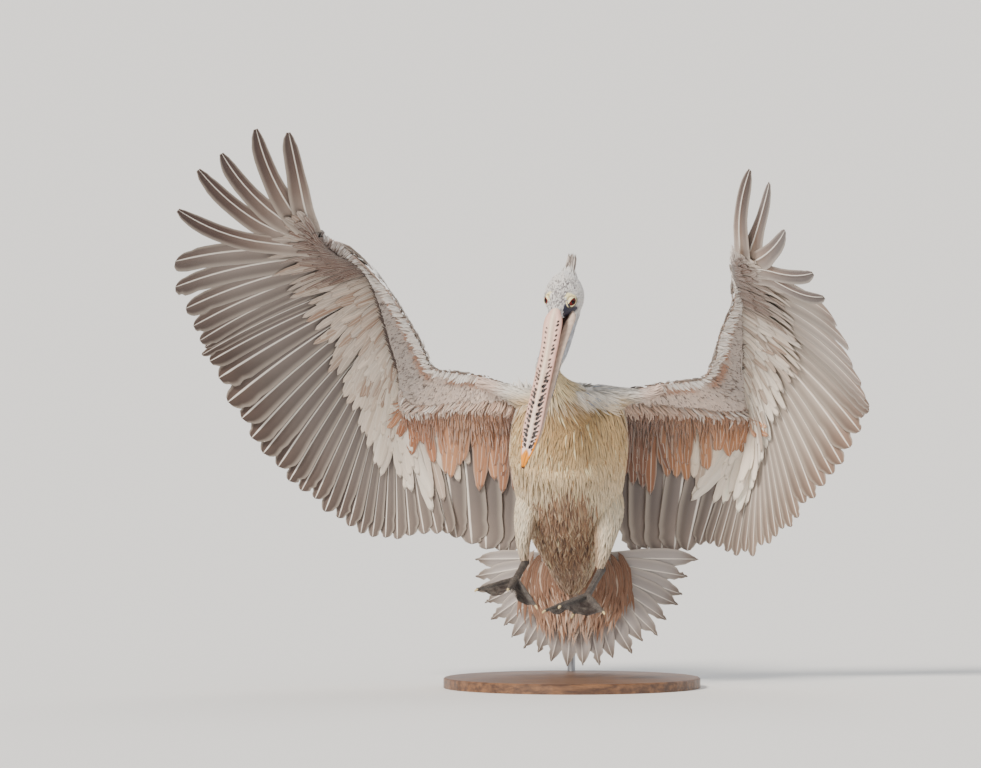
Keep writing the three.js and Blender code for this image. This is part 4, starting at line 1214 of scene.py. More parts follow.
def web_sheet(knuckle, first, second, sag):
    """The skin between two toes: it sags between them and its front edge is hollow."""
    v = np.linspace(0.0, 1.0, 25)[:, None]
    u = np.concatenate([np.linspace(0.03, 0.97, 24), np.linspace(0.97, 0.03, 24)])[None, :]
    edge = first + (second - first) * v[..., None] - knuckle
    bow = np.sin(np.pi * v)
    ripple = 0.9 * np.sin(v * 14) * bow * u
    side = np.where(np.arange(48) < 24, WEB_HALF, -WEB_HALF)[None, :] * (1 - 0.35 * u)
    point = knuckle + edge * (u * (1 - 0.14 * bow))[..., None]
    point[..., 2] += side - sag * bow * u ** 1.2 + ripple
    return closed_tube(point)


scute = Finish("leg_scutes", Roughness=0.55)
scale = scute.add(
    "ShaderNodeTexVoronoi", {"feature": "DISTANCE_TO_EDGE"},
    {"Vector": scute.own_place((1.0, 1.0, 1.0)), "Scale": 330.0},
)
scale = Level(scute, scale.outputs[0]).step(0.02, 0.16)
worn = scute.noise(scute.own_place(), 90.0, 4.0)
leg_colour = scute.mix(worn.step(0.35, 0.7), scute.tint(), paint("6d6660"))
leg_colour = scute.mix((1.0 - scale) * 0.55, leg_colour, paint("241f1e"))
scute.give("Base Color", leg_colour)
scute.give("Roughness", 0.42 + worn * 0.25)
scute.bump(scale, 0.0007)
claw_horn = Finish("claw_horn", Roughness=0.4)
streak = claw_horn.noise(claw_horn.own_place(), 500.0, 2.0)
claw_horn.give("Base Color", claw_horn.mix(streak, paint("b79a62"), paint("e2d2a4")))
for side, leg in LEGS.items():
    ankle, knuckle = np.array(leg["ankle"], float), np.array(leg["knuckle"], float)
    toes = np.array(leg["toes"], float)
    shells = [limb(ankle, knuckle, SHANK, 0.4, 0.8, top=14)]
    shells += [limb(knuckle, toe, TOE, 0.7) for toe in toes]
    shells += [web_sheet(knuckle, *pair) for pair in zip(toes, toes[1:], WEB_SAGS)]
    foot = fused("foot_skin_" + side, shells, FOOT_VOXEL, FOOT_SMOOTHING)
    # bone-grey over the bones and nearly black in the webs between them: partly the webs' own dark colour
    # and partly painted shade on their undersides
    at = mesh_points(foot.data)
    from_bone = np.full(len(at), 99.0)
    for start, end in [(ankle, knuckle)] + [(knuckle, toe) for toe in toes]:
        bone = end - start
        share = np.clip(((at - start) @ bone) / (bone @ bone), 0, 1)
        from_bone = np.minimum(from_bone, np.linalg.norm(at - start - share[:, None] * bone, axis=1))
    give_tint(foot.data, toward(paint("57514d"), paint("2e2423"), ease(from_bone, 5.5, 10.0)))
    fit(foot, scute.material, "leg_skin", "foot_" + side)
    u = np.linspace(0, 1, 10)[:, None]
    path = toes[:, None] + unit(toes - knuckle)[:, None] * (CLAW_LONG * u - CLAW_SUNK)
    path = path - np.array([0.0, 0.0, CLAW_DROP]) * u ** 2
    up = np.broadcast_to(np.array([0.0, 0.0, 1.0]), path.shape)
    corner = np.arange(8) * np.pi / 4
    round_ring = np.column_stack([np.cos(corner + np.pi), np.sin(np.pi - corner)])
    half = 2.5 * np.sqrt(1 - np.linspace(0.08, 0.94, 8) ** 2)[None, :] * np.ones((4, 1))
    claw = vanes(path, up, half, 2.0, np.ones((4, 3)), np.zeros((4, 2)), section=round_ring)
    claws = whole("claws_" + side, claw["points"], claw["quads"], claw["tris"])
    fit(claws, claw_horn.material, "leg_skin")

# Flight feathers: six tertials, twenty-two secondaries and ten primaries to a wing, the outer
# five fanned like fingers. Each is twisted a little, so that its leading vane lies over the
# upper side of the next one out, and carries a stout pale shaft that stands proud underneath.
QUILL = np.array([
    [-1.0, 0.0], [-0.95, 0.12], [-0.5, 0.42], [0.0, 0.55], [0.5, 0.42], [0.95, 0.12], [1.0, 0.0],
    [0.95, -0.08], [0.5, -0.14], [0.08, -0.20], [0.0, -1.0], [-0.08, -0.20], [-0.5, -0.14], [-0.95, -0.08],
])
SPANS = np.array([0, 0.04, 0.1, 0.18, 0.27, 0.36, 0.45, 0.54, 0.63, 0.71, 0.78, 0.84, 0.885, 0.92,
                  0.945, 0.965, 0.98, 0.992, 1.0])
VANE_U = np.concatenate([[0], np.repeat(SPANS[1:-1], len(QUILL)), [1]])
FINGER_WIDTH = 39.0
TWIST = 0.13
ROOT_REACH = 0.97
INNER = TERTIALS + SECONDARIES + PRIMARIES - FINGERS

# The pale fringe is partly the flight feathers' own pale edges and partly painted light, the glow where
# light shines through their thin edges.
flight = feather_finish("flight_feather", paint("f7efe4"), 0.86, paint("e4d6c6"), 0.30, 0.45)


def ramp(value, stops):
    """A colour read off stops (value, hex digits), straight between them."""
    at = [stop[0] for stop in stops]
    colours = np.array([paint(stop[1]) for stop in stops])
    return np.stack([np.interp(value, at, colours[:, k]) for k in range(3)], axis=-1)


def quills(path, up, half, ridge, tint, shade, edge, shaft):
    """Long feathers with a stout shaft, each with its own strip of the bake's map."""
    count = len(path)
    nowhere = np.zeros((count, 2))
    group = vanes(path, up, half, ridge[:, 1:-1], tint, nowhere, QUILL, SPANS, shade, edge, shaft)
    vane = group["vane"].reshape(count, -1, 2)
    across = (np.arange(count)[:, None] + 0.04 + 0.92 * vane[..., 0]) / count
    group["bake"] = np.stack([across, 0.02 + 0.96 * vane[..., 1]], axis=-1).reshape(-1, 2)
    return group


def worn_edges(count, amount):
    """Gains for the half widths that leave small nicks in the vanes, most near the tips."""
    nick = 1 - amount * draw.random((count, len(SPANS) - 2, 2)) ** 4
    share = ease(SPANS[1:-1], 0.70, 0.97)[None, :, None]
    return 1 + (nick - 1) * share


def both_vanes(inner, outer, mirror, nicks):
    """Half widths for each corner of the quill section: inner vane toward the body."""
    toward_body = QUILL[:, 0] * mirror > 0
    return np.where(toward_body, (inner * nicks[..., 0])[..., None], (outer * nicks[..., 1])[..., None])


def quill_gains(wing):
    """Gains that darken the upper side of a quill feather and set its inner vane off."""
    gain = np.where(QUILL[:, 1] > 0.05, 0.62, 1.0)
    gain = gain * np.where(QUILL[:, 0] * wing["mirror"] > 0.2, *wing["vane_gains"])
    return np.concatenate([[1.0], np.tile(gain, len(SPANS) - 2), [1.0]])[None, :, None]


def inner_remiges(wing):
    """The feathers from the body out to the fifth primary, bone to tip."""
    mirror, count = wing["mirror"], INNER
    number = np.arange(count)[:, None]
    u = SPANS[None, :]
    place = number + draw.normal(0, 0.045, count)[:, None] * u ** 2
    reach = ROOT_REACH + (1.03 + draw.normal(0, 0.014, count))[:, None] * u
    path = 0.5 * (wing_form(wing, 1)(place, reach)[0] + wing_form(wing, -1)(place, reach)[0])
    up = wing_up(wing, place, reach)
    along = unit(np.gradient(path, axis=1))
    near = np.minimum(place, 31.0)
    step = wing_middle(wing, near + 0.5, reach) - wing_middle(wing, near - 0.5, reach)
    gap = np.linalg.norm(step - along * np.sum(step * along, -1, keepdims=True), axis=-1)[:, 1:-1]
    gap = np.minimum(gap * np.interp(number, [0, 5, 6], [1.7, 1.35, 1.0]), 40)
    outline = np.interp(u, [0, 0.05, 0.12, 0.91, 0.955, 0.985, 1], [0.5, 0.9, 1, 1, 0.84, 0.52, 0.25])
    gap = gap * outline[:, 1:-1]
    least = 7 * outline[:, 1:-1]
    half = both_vanes(np.maximum(0.87 * gap, least), 0.55 * gap, mirror, worn_edges(count, 0.28))
    up = unit(up + TWIST * mirror * np.cross(along, up))
    ridge = np.interp(u, [0, 0.3, 0.8, 1], [2.2, 1.9, 1.1, 0.5])
    base = ramp(np.arange(count), wing["vane_colours"])[:, None]
    tip = ramp(np.arange(count), wing["tip_colours"])[:, None]
    tint = toward(base, tip, ease(VANE_U, 0.62, 0.98)[None])
    tint = tint * np.exp(draw.normal(0, 0.06, count))[:, None, None] * quill_gains(wing)
    return quills(path, up, half, ridge, tint, (0.9, 1.0, 0.97), 0.74, 1.15)


def finger_remiges(wing):
    """The five outer primaries: out through the hand, then free, each narrowed past its middle."""
    mirror = wing["mirror"]
    place = LAST_INNER + 0.5 + np.arange(FINGERS)
    start = wing_middle(wing, place, np.full(FINGERS, ROOT_REACH))
    palm = keyed(wing["palm"], place)
    base = start + 0.6 * (palm - start)
    tip, bulge = np.array(wing["fingers"], float), np.array(wing["bulges"], float)
    first, second = np.linalg.norm(base - start, axis=1), np.linalg.norm(tip - base, axis=1)
    knot = (first / (first + second))[:, None]
    fine = np.linspace(0, 1, 60)[None, :]
    t = np.clip((fine - knot) / (1 - knot), 0, 1)[..., None]
    out = np.minimum(fine / knot, 1)[..., None]
    path = start[:, None] + (base - start)[:, None] * out + (tip - base)[:, None] * t
    path = path + bulge[:, None] * 4 * t * (1 - t)
    for _ in range(40):
        path[:, 1:-1] = 0.25 * path[:, :-2] + 0.5 * path[:, 1:-1] + 0.25 * path[:, 2:]
    path = path[:, np.round(SPANS * 59).astype(int)]
    u = SPANS[None, :]
    hand_up = wing_up(wing, place, np.full(FINGERS, 1.4))[:, None]
    along = unit(np.gradient(path, axis=1))
    fan = np.gradient(tip, axis=0)[:, None]
    tip_up = unit(np.cross(along, np.broadcast_to(fan, along.shape)))
    tip_up = tip_up * np.sign(np.sum(tip_up * hand_up, -1, keepdims=True))
    share = ease(u, 0.25, 0.7)[..., None]
    up = unit(hand_up + (tip_up - hand_up) * share)
    up = unit(up + TWIST * mirror * np.cross(along, up) * (1 - 0.5 * share))
    shares = [0, 0.06, 0.2, 0.42, 0.60, 0.80, 0.90, 0.96, 1]
    outline = FINGER_WIDTH * np.interp(u, shares, [0.5, 0.9, 1, 1, 0.84, 0.76, 0.64, 0.42, 0.15])[:, 1:-1]
    half = both_vanes(0.62 * outline, 0.38 * outline, mirror, worn_edges(FINGERS, 0.10))
    ridge = np.interp(u, [0, 0.3, 0.8, 1], [2.6, 2.2, 1.3, 0.6])
    tint = ramp(VANE_U, wing["finger_colours"])[None] * quill_gains(wing) * np.ones((FINGERS, 1, 1))
    return quills(path, up, half, ridge, tint, (0.95, 1.0, 1.0), 0.88, 1.15)


# The two wings share one set of colours on the bird. The left wing's tables, mostly lighter and with
# stronger vane gains, are painted light where it faces the key light, and the right wing's darker ones are
# painted shade.
WINGS["right"].update(
    vane_gains=(0.92, 1.10),
    vane_colours=[(0, "6f6560"), (5, "776c66"), (9, "857a73"), (14, "756b66"), (21, "6d635e"),
                  (32, "786c65")],
    tip_colours=[(0, "8d8078"), (5, "7d6f66"), (9, "756860"), (14, "5c4d46"), (21, "4b3b33"),
                 (32, "4d3a31")],
    finger_colours=[(0, "a29489"), (0.26, "8f7f74"), (0.45, "6b574c"), (0.68, "472f25"), (1, "352018")],
)
WINGS["left"].update(
    vane_gains=(0.84, 1.22),
    vane_colours=[(0, "6a615d"), (5, "776d68"), (9, "a1948a"), (14, "ac9e93"), (21, "b0a194"),
                  (32, "b2a295")],
    tip_colours=[(0, "8d8078"), (5, "7f7168"), (9, "88766a"), (14, "867264"), (21, "7c6455"),
                 (32, "836654")],
    finger_colours=[(0, "b3a498"), (0.26, "9a8576"), (0.45, "705646"), (0.68, "432a1e"), (1, "2e170e")],
)
for side, wing in WINGS.items():
    inner, fingers = inner_remiges(wing), finger_remiges(wing)
    inner["bake"] = inner["bake"] * [0.86, 1.0]
    fingers["bake"] = fingers["bake"] * [0.13, 1.0] + [0.865, 0.0]
    nodes = "wing_%s_forearm" % side, "wing_%s_hand" % side
    coat("flight_feathers_" + side, [inner, fingers], flight, "flight_feathers", nodes, True)

# Under side of the wings: rows of coverts that overlap like tiles over the roots of the flight
# feathers, small over the arm and long behind it; long rufous axillars fill the armpit, and
# white ruffles edge the front of the wing.
TILE = np.array([
    [-1.0, 0.0], [-0.94, 0.35], [-0.45, 0.8], [0.0, 1.0], [0.45, 0.8], [0.94, 0.35], [1.0, 0.0], [0.0, -0.3],
])
covert = feather_finish("covert_feather", paint("f6eee2"), 0.45, paint("f3ece2"), 0.22, 0.4)
WING_MAP = ((-0.5, WING_END), (-120.0, 330.0))
ROWS_NEAR, ROWS_FAR = -0.4, 37.3
GREAT = [(0.06, 0.55), (0.25, 0.88), (0.55, 1.0), (0.80, 0.92), (0.94, 0.55)]
GREAT_PLACES = [3.2, 5.5, 8, 11, 14, 20, 28, 33, 37]


def wing_depths(wing, place):
    """How far the bone lies behind the leading edge, and the feather tips behind the bone."""
    bone = keyed(wing["bone"], place)
    ahead = np.linalg.norm(bone - keyed(wing["lead"], place), axis=-1)
    return ahead, np.linalg.norm(bone - keyed(wing["edge"], place), axis=-1)


def wing_face(wing, face, stand=0.0):
    """One face of the wing with the second measure in millimetres behind the bone, which is
    less than 0 ahead of it."""
    sheet = wing_form(wing, face, stand)

    def at(place, run):
        """The sheet at reach 1 plus run over the depth ahead of the bone or behind it."""
        place, run = np.broadcast_arrays(place, run)
        ahead, behind = wing_depths(wing, place)
        return sheet(place, 1 + np.where(run < 0, run / ahead, run / behind))

    return at


def wing_rows(wing, face, low, high, gap, row_gap):
    """Roots in rows along the wing from reach low to high, thinned where the rows crowd, as
    places, reaches and millimetres behind the bone."""
    sheet = wing_form(wing, face)
    deepest = wing_depths(wing, np.linspace(ROWS_NEAR, ROWS_FAR, 50))[0].max()
    reaches = np.linspace(low, high, max(int((high - low) * deepest / row_gap), 2))
    reach, place = spots(lambda r, t: sheet(t, r)[0], reaches, gap, ROWS_NEAR, ROWS_FAR)
    reach = reach + draw.uniform(-0.3, 0.3, len(reach)) * row_gap / deepest
    ahead = wing_depths(wing, place)[0]
    keep = draw.random(len(place)) < 1.15 * ahead / deepest
    return place[keep], reach[keep], (reach[keep] - 1) * ahead[keep]


def cover(wing, face, place, run, length, width, tint, rise, degrees, outline, stand, **looks):
    """Coverts over one face of the wing, rooted run millimetres behind the bone. They head
    straight back from it, but for a turn of some degrees toward the wing tip."""
    count = len(place)
    run = np.broadcast_to(run, count)
    turn = np.radians(degrees + draw.normal(0, 6, count))
    on_bone = np.ones(count)
    gap = wing_middle(wing, place + 0.5, on_bone) - wing_middle(wing, place - 0.5, on_bone)
    way = np.sin(turn) / np.linalg.norm(gap, axis=-1), np.cos(turn)
    form = wing_face(wing, face, stand)
    return lay(form, place, run, way, length, width, tint, WING_MAP, outline, rise, **looks)


def under_marks(wing, place, reach):
    """The colour of the small coverts under the arm and hand at a place and reach."""
    colour = toward(plain("b3a69e", len(place)), paint("dcc6b8"), ease(place, 7.0, 3.0))
    patchy = np.sin(place * 1.7) * np.sin(place * 0.63 + 2)
    line = hump(reach - 0.17, 0.07) * ease(patchy, -1.1, 0.1) * ease(place, 27, 25)
    colour = toward(colour, paint("9c6747"), 0.85 * line)
    colour = toward(colour, paint("efe9e2"), ease(reach, 0.09, 0.04))
    knob = ease(place, 23.6, 25.6) * ease(place, 29.4, 28.2) * ease(reach, 0.95, 0.7)
    colour = toward(colour, paint("f1eae3"), knob)
    crease = hump(reach - 0.90, 0.045) * ease(place, 8, 10) * ease(place, 27.5, 26)
    colour = toward(colour, paint("5f504b"), 0.75 * crease)
    rufous = ease(place, 8.0, 6.0) * ease(reach, 0.72, 0.84)
    colour = toward(colour, paint("9c6546"), rufous)
    hand = ease(place, 27.6, 28.8) * ease(reach, 0.25, 0.4)
    return toward(colour, paint(wing["hand_patch"]), hand * 0.85)


def great_coverts(wing):
    """Greater coverts under the flight feathers in tiers, and the median row over them."""
    groups = []
    for tier, start, share, rise, count in (
        (0, 14.0, 1.0, (1.0, 2.6), 66), (1, 9.0, 0.80, (1.6, 3.4), 74), (2, 3.0, 0.58, (2.4, 4.2), 90),
        (3, -2.0, 0.36, (3.2, 4.8), 110),
    ):
        place = np.linspace(3.2, 37.0, count) + draw.normal(0, 0.10, count)
        length = np.interp(place, GREAT_PLACES, [116, 176, 178, 152, 134, 122, 116, 122, 112])
        length = length * share * draw.uniform(0.88, 1.10, count)
        width = np.interp(place, [3, 6, 10, 20, 28, 37], [19, 21, 20, 17, 14, 13]) * (1 - 0.13 * tier)
        tint = vary(ramp(place, wing["cream"]), 0.06, count)
        worn = toward(tint, paint("8f6e58"), draw.uniform(0.2, 0.9, count))
        chance = np.interp(place, [4, 12, 16, 30], [0.06, 0.14, 0.38, 0.34]) * (0.6 + 0.25 * tier)
        tint = ticked(tint, chance, worn)
        hand = ease(place, 26.6, 28.4) * ease(tier, -0.5, 1.8) * 0.9
        pressed = np.interp(place, [6.6, 8.8], [0.25, 1.0])
        lifted = ease(place, 31.5, 33)
        groups.append(cover(
            wing, -1, place, start, length, width, toward(tint, paint(wing["hand_patch"]), hand),
            (rise[0] * pressed + 5.0 * lifted, rise[1] * pressed + 7.0 * lifted), -3.0, GREAT, 1.5,
            section=TILE, ridge=0.025, edge=0.90, shaft=1.04, shade=(0.52, 1.0, 1.08), roll=0.06, bend=0.05,
        ))
    return groups


def small_coverts(wing):
    """Small coverts under the arm and hand, some of them thin dark streaks."""
    place, reach, run = wing_rows(wing, -1, 0.03, 1.06, 5.0, 4.6)
    tint = under_marks(wing, place, reach)
    size = np.interp(reach, [0, 0.2, 0.7, 1.06], [9, 13, 17, 24]) * draw.uniform(0.85, 1.2, len(place))
    chance = np.interp(reach, [0, 0.15, 0.3, 0.85, 1.06], [0.03, 0.10, 0.36, 0.30, 0.08])
    chance = chance * np.interp(place, [0, 4, 6, 20, 26], [0.5, 0.7, 1.0, 1.0, 0.2])
    streaked = draw.random(len(place)) < chance
    groups = []
    for dark in (False, True):
        here = streaked == dark
        colour = vary(tint[here], 0.05, here.sum())
        if dark:
            colour = toward(colour, paint("5f5350"), draw.uniform(0.4, 0.95, here.sum()))
        long = size[here] * (0.62 if dark else 1.0)
        groups.append(cover(
            wing, -1, place[here], run[here], long, long * (0.16 if dark else 0.34) + 0.5, colour,
            (0.6, 2.6 + 0.8 * dark), 16.0, SOFT, 0.0, ridge=0.05, edge=1.03, shaft=0.95,
        ))
    return groups


def ulna_seam(wing):
    """The dark seam along the ulna, of thin feathers turned far toward the wing tip."""
    count = 150
    place = np.linspace(7.5, 27.5, count) + draw.normal(0, 0.05, count)
    seam = vary(plain("4d3d38", count), 0.12, count)
    return cover(
        wing, -1, place, -6.0 + draw.normal(0, 0.7, count), draw.uniform(15, 21, count), 2.2, seam,
        (4.5, 7.5), 64.0, LANCE, 0.0, ridge=0.08,
    )


def ruffles(wing):
    """White ruffles on the leading edge, which stand off it above and below."""
    count = 210
    place = np.sort(draw.uniform(0.0, 33.0, count))
    length = draw.uniform(12, 22, count) * np.interp(place, [0, 20, 27, 33], [1.0, 1.0, 0.8, 0.6])
    ahead = wing_depths(wing, place)[0]
    tint = vary(toward(plain("f0ebe5", count), paint("b9947a"), 0.4 * draw.random(count) ** 2), 0.05, count)
    return [cover(
        wing, face, place, -ahead * draw.uniform(0.93, 1.0, count), length, 0.26 * length, tint,
        (0.5, 7.0), 40.0, LANCE, 0.0, ridge=0.06, edge=0.95,
    ) for face in (-1, 1)]


def axillars(wing):
    """Long rufous feathers from the armpit, shortest toward the elbow, under thin ones."""
    groups = []
    for tier, count, share, lift, slim in (
        (0, 17, 1.0, (3.0, 4.5), 1.0), (1, 26, 0.80, (4.0, 5.5), 0.80), (2, 60, 0.60, (4.5, 7.0), 0.34),
        (3, 110, 0.38, (4.0, 8.0), 0.26), (4, 120, 0.20, (3.5, 8.5), 0.24),
    ):
        place = np.linspace(-0.35, 7.0, count) + draw.normal(0, 0.12, count)
        length = np.interp(place, [-0.3, 1.2, 2.6, 3.6, 5.0, 7.6], [200, 196, 168, 126, 92, 66])
        length = length * share * draw.uniform(0.86, 1.08, count)
        width = slim * np.interp(length / share, [50, 90, 160], [13, 19, 24])
        colour = ramp(place + draw.normal(0, 0.35, count), wing["axillars"])
        deep = (0.10 + 0.14 * tier) * draw.random(count) * ease(place, 8, 5)
        colour = vary(toward(colour, paint("74452f"), deep), 0.06, count)
        outline, section = (GREAT, TILE) if tier < 2 else (LANCE, RING)
        groups.append(cover(
            wing, -1, place, -14.0 + 2 * tier, length, width, colour, lift,
            np.interp(place, [-0.3, 1.5, 4, 7], [-1, 8, 25, 24]), outline, 1.0, section=section,
            ridge=0.03, edge=0.84, shaft=1.12, shade=(0.50 + 0.07 * tier, 1.0, 1.14), roll=0.07, bend=0.04,
        ))
    return groups


def armpit_coverts(wing):
    """Soft pale coverts over the roots of the axillars, with a ragged edge."""
    count = 230
    place = draw.uniform(-0.5, 8.2, count)
    tint = toward(plain("c9a893", count), paint("efe6de"), draw.random(count) * ease(place, 1, 4))
    tint = toward(tint, paint("9b7058"), 0.5 * (draw.random(count) < 0.3))
    return cover(
        wing, -1, place, draw.uniform(-30, -12, count), draw.uniform(20, 36, count), 5.0,
        vary(tint, 0.06, count), (1.5, 10.0), 14.0, SOFT, 1.0, ridge=0.05, edge=0.95, shaft=1.04, bend=0.10,
    )


# The left and right tables differ as painted light and shade, not as colour: the left wing, toward the key
# light, has a lighter hand patch and cream, and the right wing darker ones.
WINGS["right"].update(
    hand_patch="4a2513",
    axillars=[(-0.3, "85573f"), (1.0, "b27c59"), (2.5, "bb8763"), (4.2, "a0694a"), (6.0, "a26a49"),
              (7.6, "c3936e")],
    cream=[(3, "d9c2ad"), (6, "ebdfd0"), (12, "e2d4c3"), (16, "d3c3b3"), (21, "bfae9f"), (28, "ab9a8c"),
           (37, "a39285")],
)
WINGS["left"].update(
    hand_patch="5f3b29",
    axillars=[(-0.3, "5f3f30"), (1.0, "75503c"), (2.2, "986846"), (4.0, "b17c58"), (6.0, "ae7650"),
              (7.6, "cf9f7a")],
    cream=[(3, "e0cbb4"), (6, "f4e7d6"), (12, "f3e7d8"), (16, "eee2d2"), (21, "e5d8c9"), (28, "d9cabb"),
           (37, "c8b7a8")],
)
for side, wing in WINGS.items():
    coat("under_coverts_" + side, great_coverts(wing), covert, "flight_feathers", (), True)
    coat("under_arm_feathers_" + side, [*small_coverts(wing), ulna_seam(wing), *ruffles(wing)], contour)
    coat("axillars_" + side, [*axillars(wing), armpit_coverts(wing)], covert, smooth=True)

# Tail: twenty-two stiff pale feathers spread a little past a half circle, worn at the tips,
# with rufous coverts lying over the front of them and short grey ones over the back.
TAIL_FEATHERS = 22
TAIL_HALF = math.radians(92)
TAIL_MAP = ((-1.7, 1.7), (0.0, 220.0))
TAIL_ROOT = (8, 138, 224)
TAIL_LEAN = 0.14


def fan(angle, radius, forward):
    """A point of the tail's fan: angle from straight down toward the bird's left."""
    x, y, z = TAIL_ROOT
    drop = radius * np.cos(angle)
    return np.stack([x + radius * np.sin(angle), y + TAIL_LEAN * drop - forward, z - drop], axis=-1)


def fan_face(front, stand):
    """The front (1) or back (-1) of the fan, from angle and radius."""
    def at(angle, radius):
        """The fan's point moved off its sheet by stand, and the way that this side faces."""
        angle, radius = np.broadcast_arrays(angle, radius)
        out = -front * np.array([0.0, 1.0, TAIL_LEAN]) + np.zeros((*angle.shape, 3))
        return fan(angle, radius, front * stand), unit(out)

    return at


number = np.arange(TAIL_FEATHERS)
angle = -TAIL_HALF + 2 * TAIL_HALF * (number + 0.5) / TAIL_FEATHERS + draw.normal(0, 0.012, TAIL_FEATHERS)
reach = 192 + 12 * np.sin(angle) + draw.normal(0, 4, TAIL_FEATHERS)
u = SPANS[None, :]
bent = angle[:, None] - 0.05 * np.sin(angle)[:, None] * (1 - u) ** 2
path = fan(bent, 6 + (reach - 6)[:, None] * u, 3.0 * np.abs(np.sin(angle))[:, None] + 0 * u)
out_way = np.stack([np.cos(bent) * np.sign(bent), 0 * bent, np.sin(bent) * np.sign(bent)], axis=-1)
up = unit(np.array([0.0, 1.0, TAIL_LEAN]) + 0.12 * out_way)
shares = [0, 0.25, 0.55, 0.72, 0.83, 0.91, 0.96, 1]
outline = 20.0 * np.interp(u, shares, [0.2, 0.55, 0.95, 1.0, 0.84, 0.56, 0.26, 0.04])[:, 1:-1]
half = both_vanes(outline, 0.8 * outline, 1, worn_edges(TAIL_FEATHERS, 0.75))
ridge = np.interp(u, [0, 0.5, 1], [2.0, 1.5, 0.6])
tint = ramp(VANE_U, [(0, "8d837e"), (0.4, "bab2ae"), (0.82, "b9b0ab"), (0.93, "8f8279"), (1, "6b5c52")])
tint = tint[None] * np.exp(draw.normal(0, 0.05, (TAIL_FEATHERS, 1, 1)))
rectrices = quills(path, up, half, ridge, tint, (0.9, 1.0, 1.0), 0.80, 1.0)
coat("tail_feathers", [rectrices], flight, "flight_feathers", ("tail",), True)

groups = []
for tier, count, start, long, lift in (
    (0, 92, 74, 100, (3, 7)), (1, 90, 60, 96, (5, 9)), (2, 88, 46, 88, (7, 12)), (3, 84, 33, 80, (9, 15)),
    (4, 70, 21, 70, (11, 18)), (5, 56, 11, 60, (13, 20)),
):
    spread = math.radians(97)
    angle = np.linspace(-spread, spread, count) + draw.normal(0, 0.03, count)
    length = long * (0.80 + 0.20 * (angle / spread) ** 2) * draw.uniform(0.75, 1.15, count)
    aside = start * np.sin(angle) * 1.10
    drop = start * np.cos(angle) + length
    hang = (np.arctan2(aside, drop) - angle + draw.normal(0, 0.05, count), np.hypot(aside, drop) - start)
    # darker toward the top sides of the fan as painted shade, where it turns in under the body
    shades = [(0, "ab9483"), (0.35, "b08b73"), (0.8, "a57c62"), (1.1, "8f674f"), (1.8, "7d5842")]
    colour = ramp(np.abs(angle) + draw.normal(0, 0.12, count), shades)
    colour = ticked(ticked(colour, 0.12, paint("ceb29c")), 0.12, paint("7c563f"))
    groups.append(lay(
        fan_face(1, 8.0), angle, np.full(count, start), hang, length, 0.09 * length + 1.5,
        vary(colour, 0.08, count), TAIL_MAP, LANCE, lift, ridge=0.04, edge=0.90, shaft=1.06,
        shade=(0.66, 1.0, 1.12), bend=0.09,
    ))
coat("undertail_coverts_coat", groups, contour, replaced=("undertail_coverts",))

groups = []
for tier, count, start, long in ((0, 34, 26, 78), (1, 34, 12, 66), (2, 30, 2, 54)):
    angle = np.linspace(-1.45, 1.45, count) + draw.normal(0, 0.03, count)
    length = long * draw.uniform(0.85, 1.1, count)
    colour = vary(ramp(np.abs(angle), [(0, "bdb6b1"), (1.4, "a89f99")]), 0.07, count)
    groups.append(lay(
        fan_face(-1, 4.0), angle, np.full(count, start), (draw.normal(0, 0.0006, count), 1.0), length,
        17.0, colour, TAIL_MAP, GREAT, (2.0 + 2 * tier, 4.0 + 2 * tier), section=TILE,
        ridge=0.03, edge=1.1, shaft=0.75,
    ))
coat("uppertail_coverts", groups, covert, smooth=True)

# Crest: a loose tuft of thin brown and grey filaments at the back of the crown. Each is a narrow
# closed vane that stands up from the plush of the head, bowed a little back.
count = 190
place = draw.uniform(-1, 1, (count, 3))
root = np.array([-6.0, -128.0, 731.0]) + place * [8.5, 6.0, 3.0]
tip = np.array([0.0, -116.0, 758.0]) + place * [6.5, 5.0, 0.0]
tip[:, 2] += draw.uniform(-14, 7, count)
u = np.linspace(0, 1, 7)[None, :, None]
path = root[:, None] + (tip - root)[:, None] * u + np.array([0, 3.5, 0]) * u * (1 - u) * 4
path = path + draw.normal(0, 1.0, (count, 1, 3)) * u ** 2
up = np.broadcast_to(np.array([0.2, -1.0, 0.3]), path.shape)
half = draw.uniform(1.0, 1.9, count)[:, None] * np.array([0.9, 1.0, 1.0, 0.85, 0.5])[None, :]
shades = np.array([paint(c) for c in ("948780", "7b6d66", "bcb3ab", "5c504b", "9d918a")])
tint = vary(shades[draw.integers(0, 5, count)], 0.06, count)
where = np.column_stack([0.5 + root[:, 0] * 0.01, np.full(count, 0.9)])
filaments = vanes(path, up, half, 0.45, tint, where)
coat("crest_filaments", [filaments], contour, replaced=("crest",))

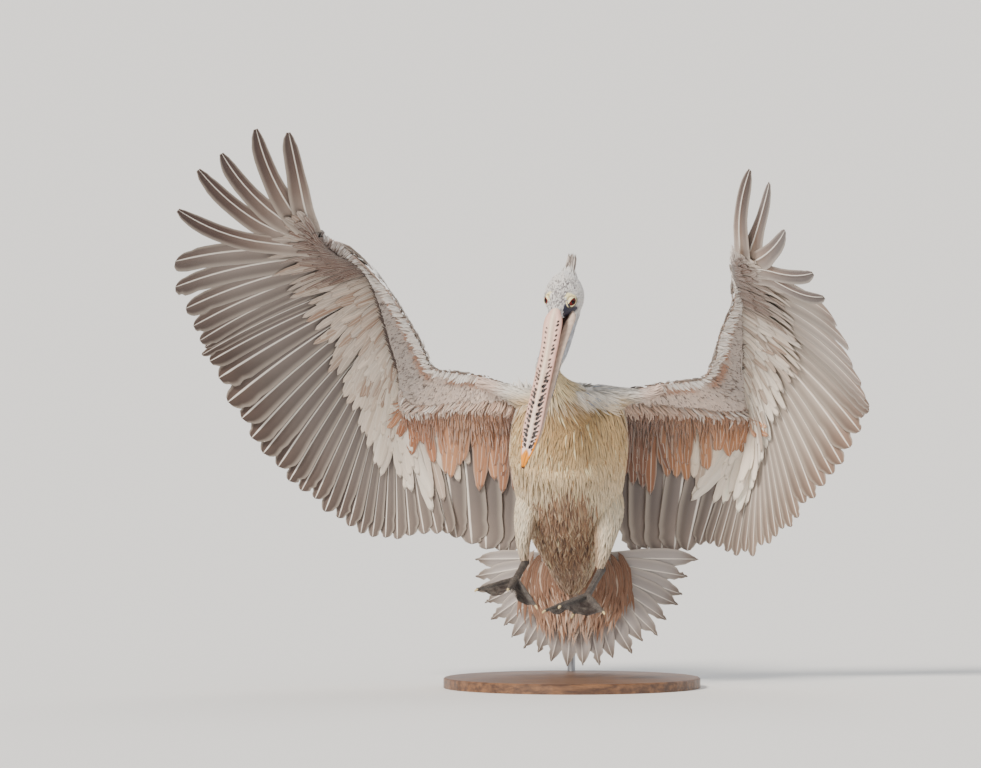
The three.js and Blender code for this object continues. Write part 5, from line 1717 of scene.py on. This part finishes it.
# Upper side of the wings and the scapulars: grey feathers with dusky centres and pale fringes,
# small over the arm and long over the flight feathers, with a bastard wing at the wrist.
upper_grey = [(0, "a79d96"), (8, "958b84"), (20, "81776f"), (30, "6e6259"), (37, "5d4f47")]
for side, wing in WINGS.items():
    place, reach, run = wing_rows(wing, 1, 0.03, 1.0, 8.0, 7.0)
    size = np.interp(reach, [0, 0.3, 1], [15, 22, 30]) * draw.uniform(0.85, 1.15, len(place))
    tint = vary(ramp(place, upper_grey), 0.07, len(place))
    tint = toward(tint, paint("e6dad0"), ease(reach, 0.48, 0.26))
    groups = []
    for near in (True, False):
        here = (reach < 0.36) == near
        groups.append(cover(
            wing, 1, place[here], run[here], size[here], 0.46 * size[here], tint[here], (0.6, 3.4), 10.0,
            BROAD, 0.0, ridge=0.04, edge=1.0 if near else 1.22, shaft=1.0 if near else 0.62,
            shade=(0.9, 1.0, 1.0) if near else (0.75, 1.0, 1.05),
        ))
    coat("upper_arm_feathers_" + side, groups, contour)
    # tiers of coverts over the flight feathers
    groups = []
    for tier, start, count, lengths in (
        (0, 12.0, 46, [140, 122, 104, 110, 96]), (1, 4.0, 56, [84, 74, 64, 66, 58]),
        (2, -4.0, 70, [54, 48, 42, 40, 34]),
    ):
        place = np.linspace(-0.3, 37.0, count) + draw.normal(0, 0.06, count)
        length = np.interp(place, [-0.3, 8, 20, 30, 37], lengths) * draw.uniform(0.92, 1.06, count)
        width = np.interp(place, [0, 8, 20, 30, 37], [38, 27, 21, 17, 14]) * (1 - 0.12 * tier)
        groups.append(cover(
            wing, 1, place, start, length, width, vary(ramp(place, upper_grey), 0.05, count),
            (1.0 + tier, 2.6 + tier), -3.0, GREAT, 1.5, section=TILE, ridge=0.025, edge=1.2, shaft=0.66,
            roll=0.05,
        ))
    # the bastard wing
    thumb = np.array([28.3, 28.7, 29.1, 29.5])
    groups.append(cover(
        wing, 1, thumb, -0.86 * wing_depths(wing, thumb)[0], np.array([62.0, 76, 88, 96]), 13.0,
        plain("8f8178", 4), (1.0, 6.0), 66.0, GREAT, 2.0, section=TILE, ridge=0.05, edge=1.15,
    ))
    # scapulars
    count = 64
    place = draw.uniform(-0.45, 4.6, count)
    length = np.interp(place, [-0.5, 4.6], [150, 92]) * draw.uniform(0.75, 1.05, count)
    groups.append(cover(
        wing, 1, place, -wing_depths(wing, place)[0] * draw.uniform(0.1, 0.8, count), length, 22.0,
        vary(plain("bdb5af", count), 0.06, count), (5.0, 9.0), -14.0, GREAT, 1.0, section=TILE,
        ridge=0.03, edge=1.2, shaft=0.66,
    ))
    coat("upper_coverts_" + side, groups, covert, "flight_feathers", (), True)
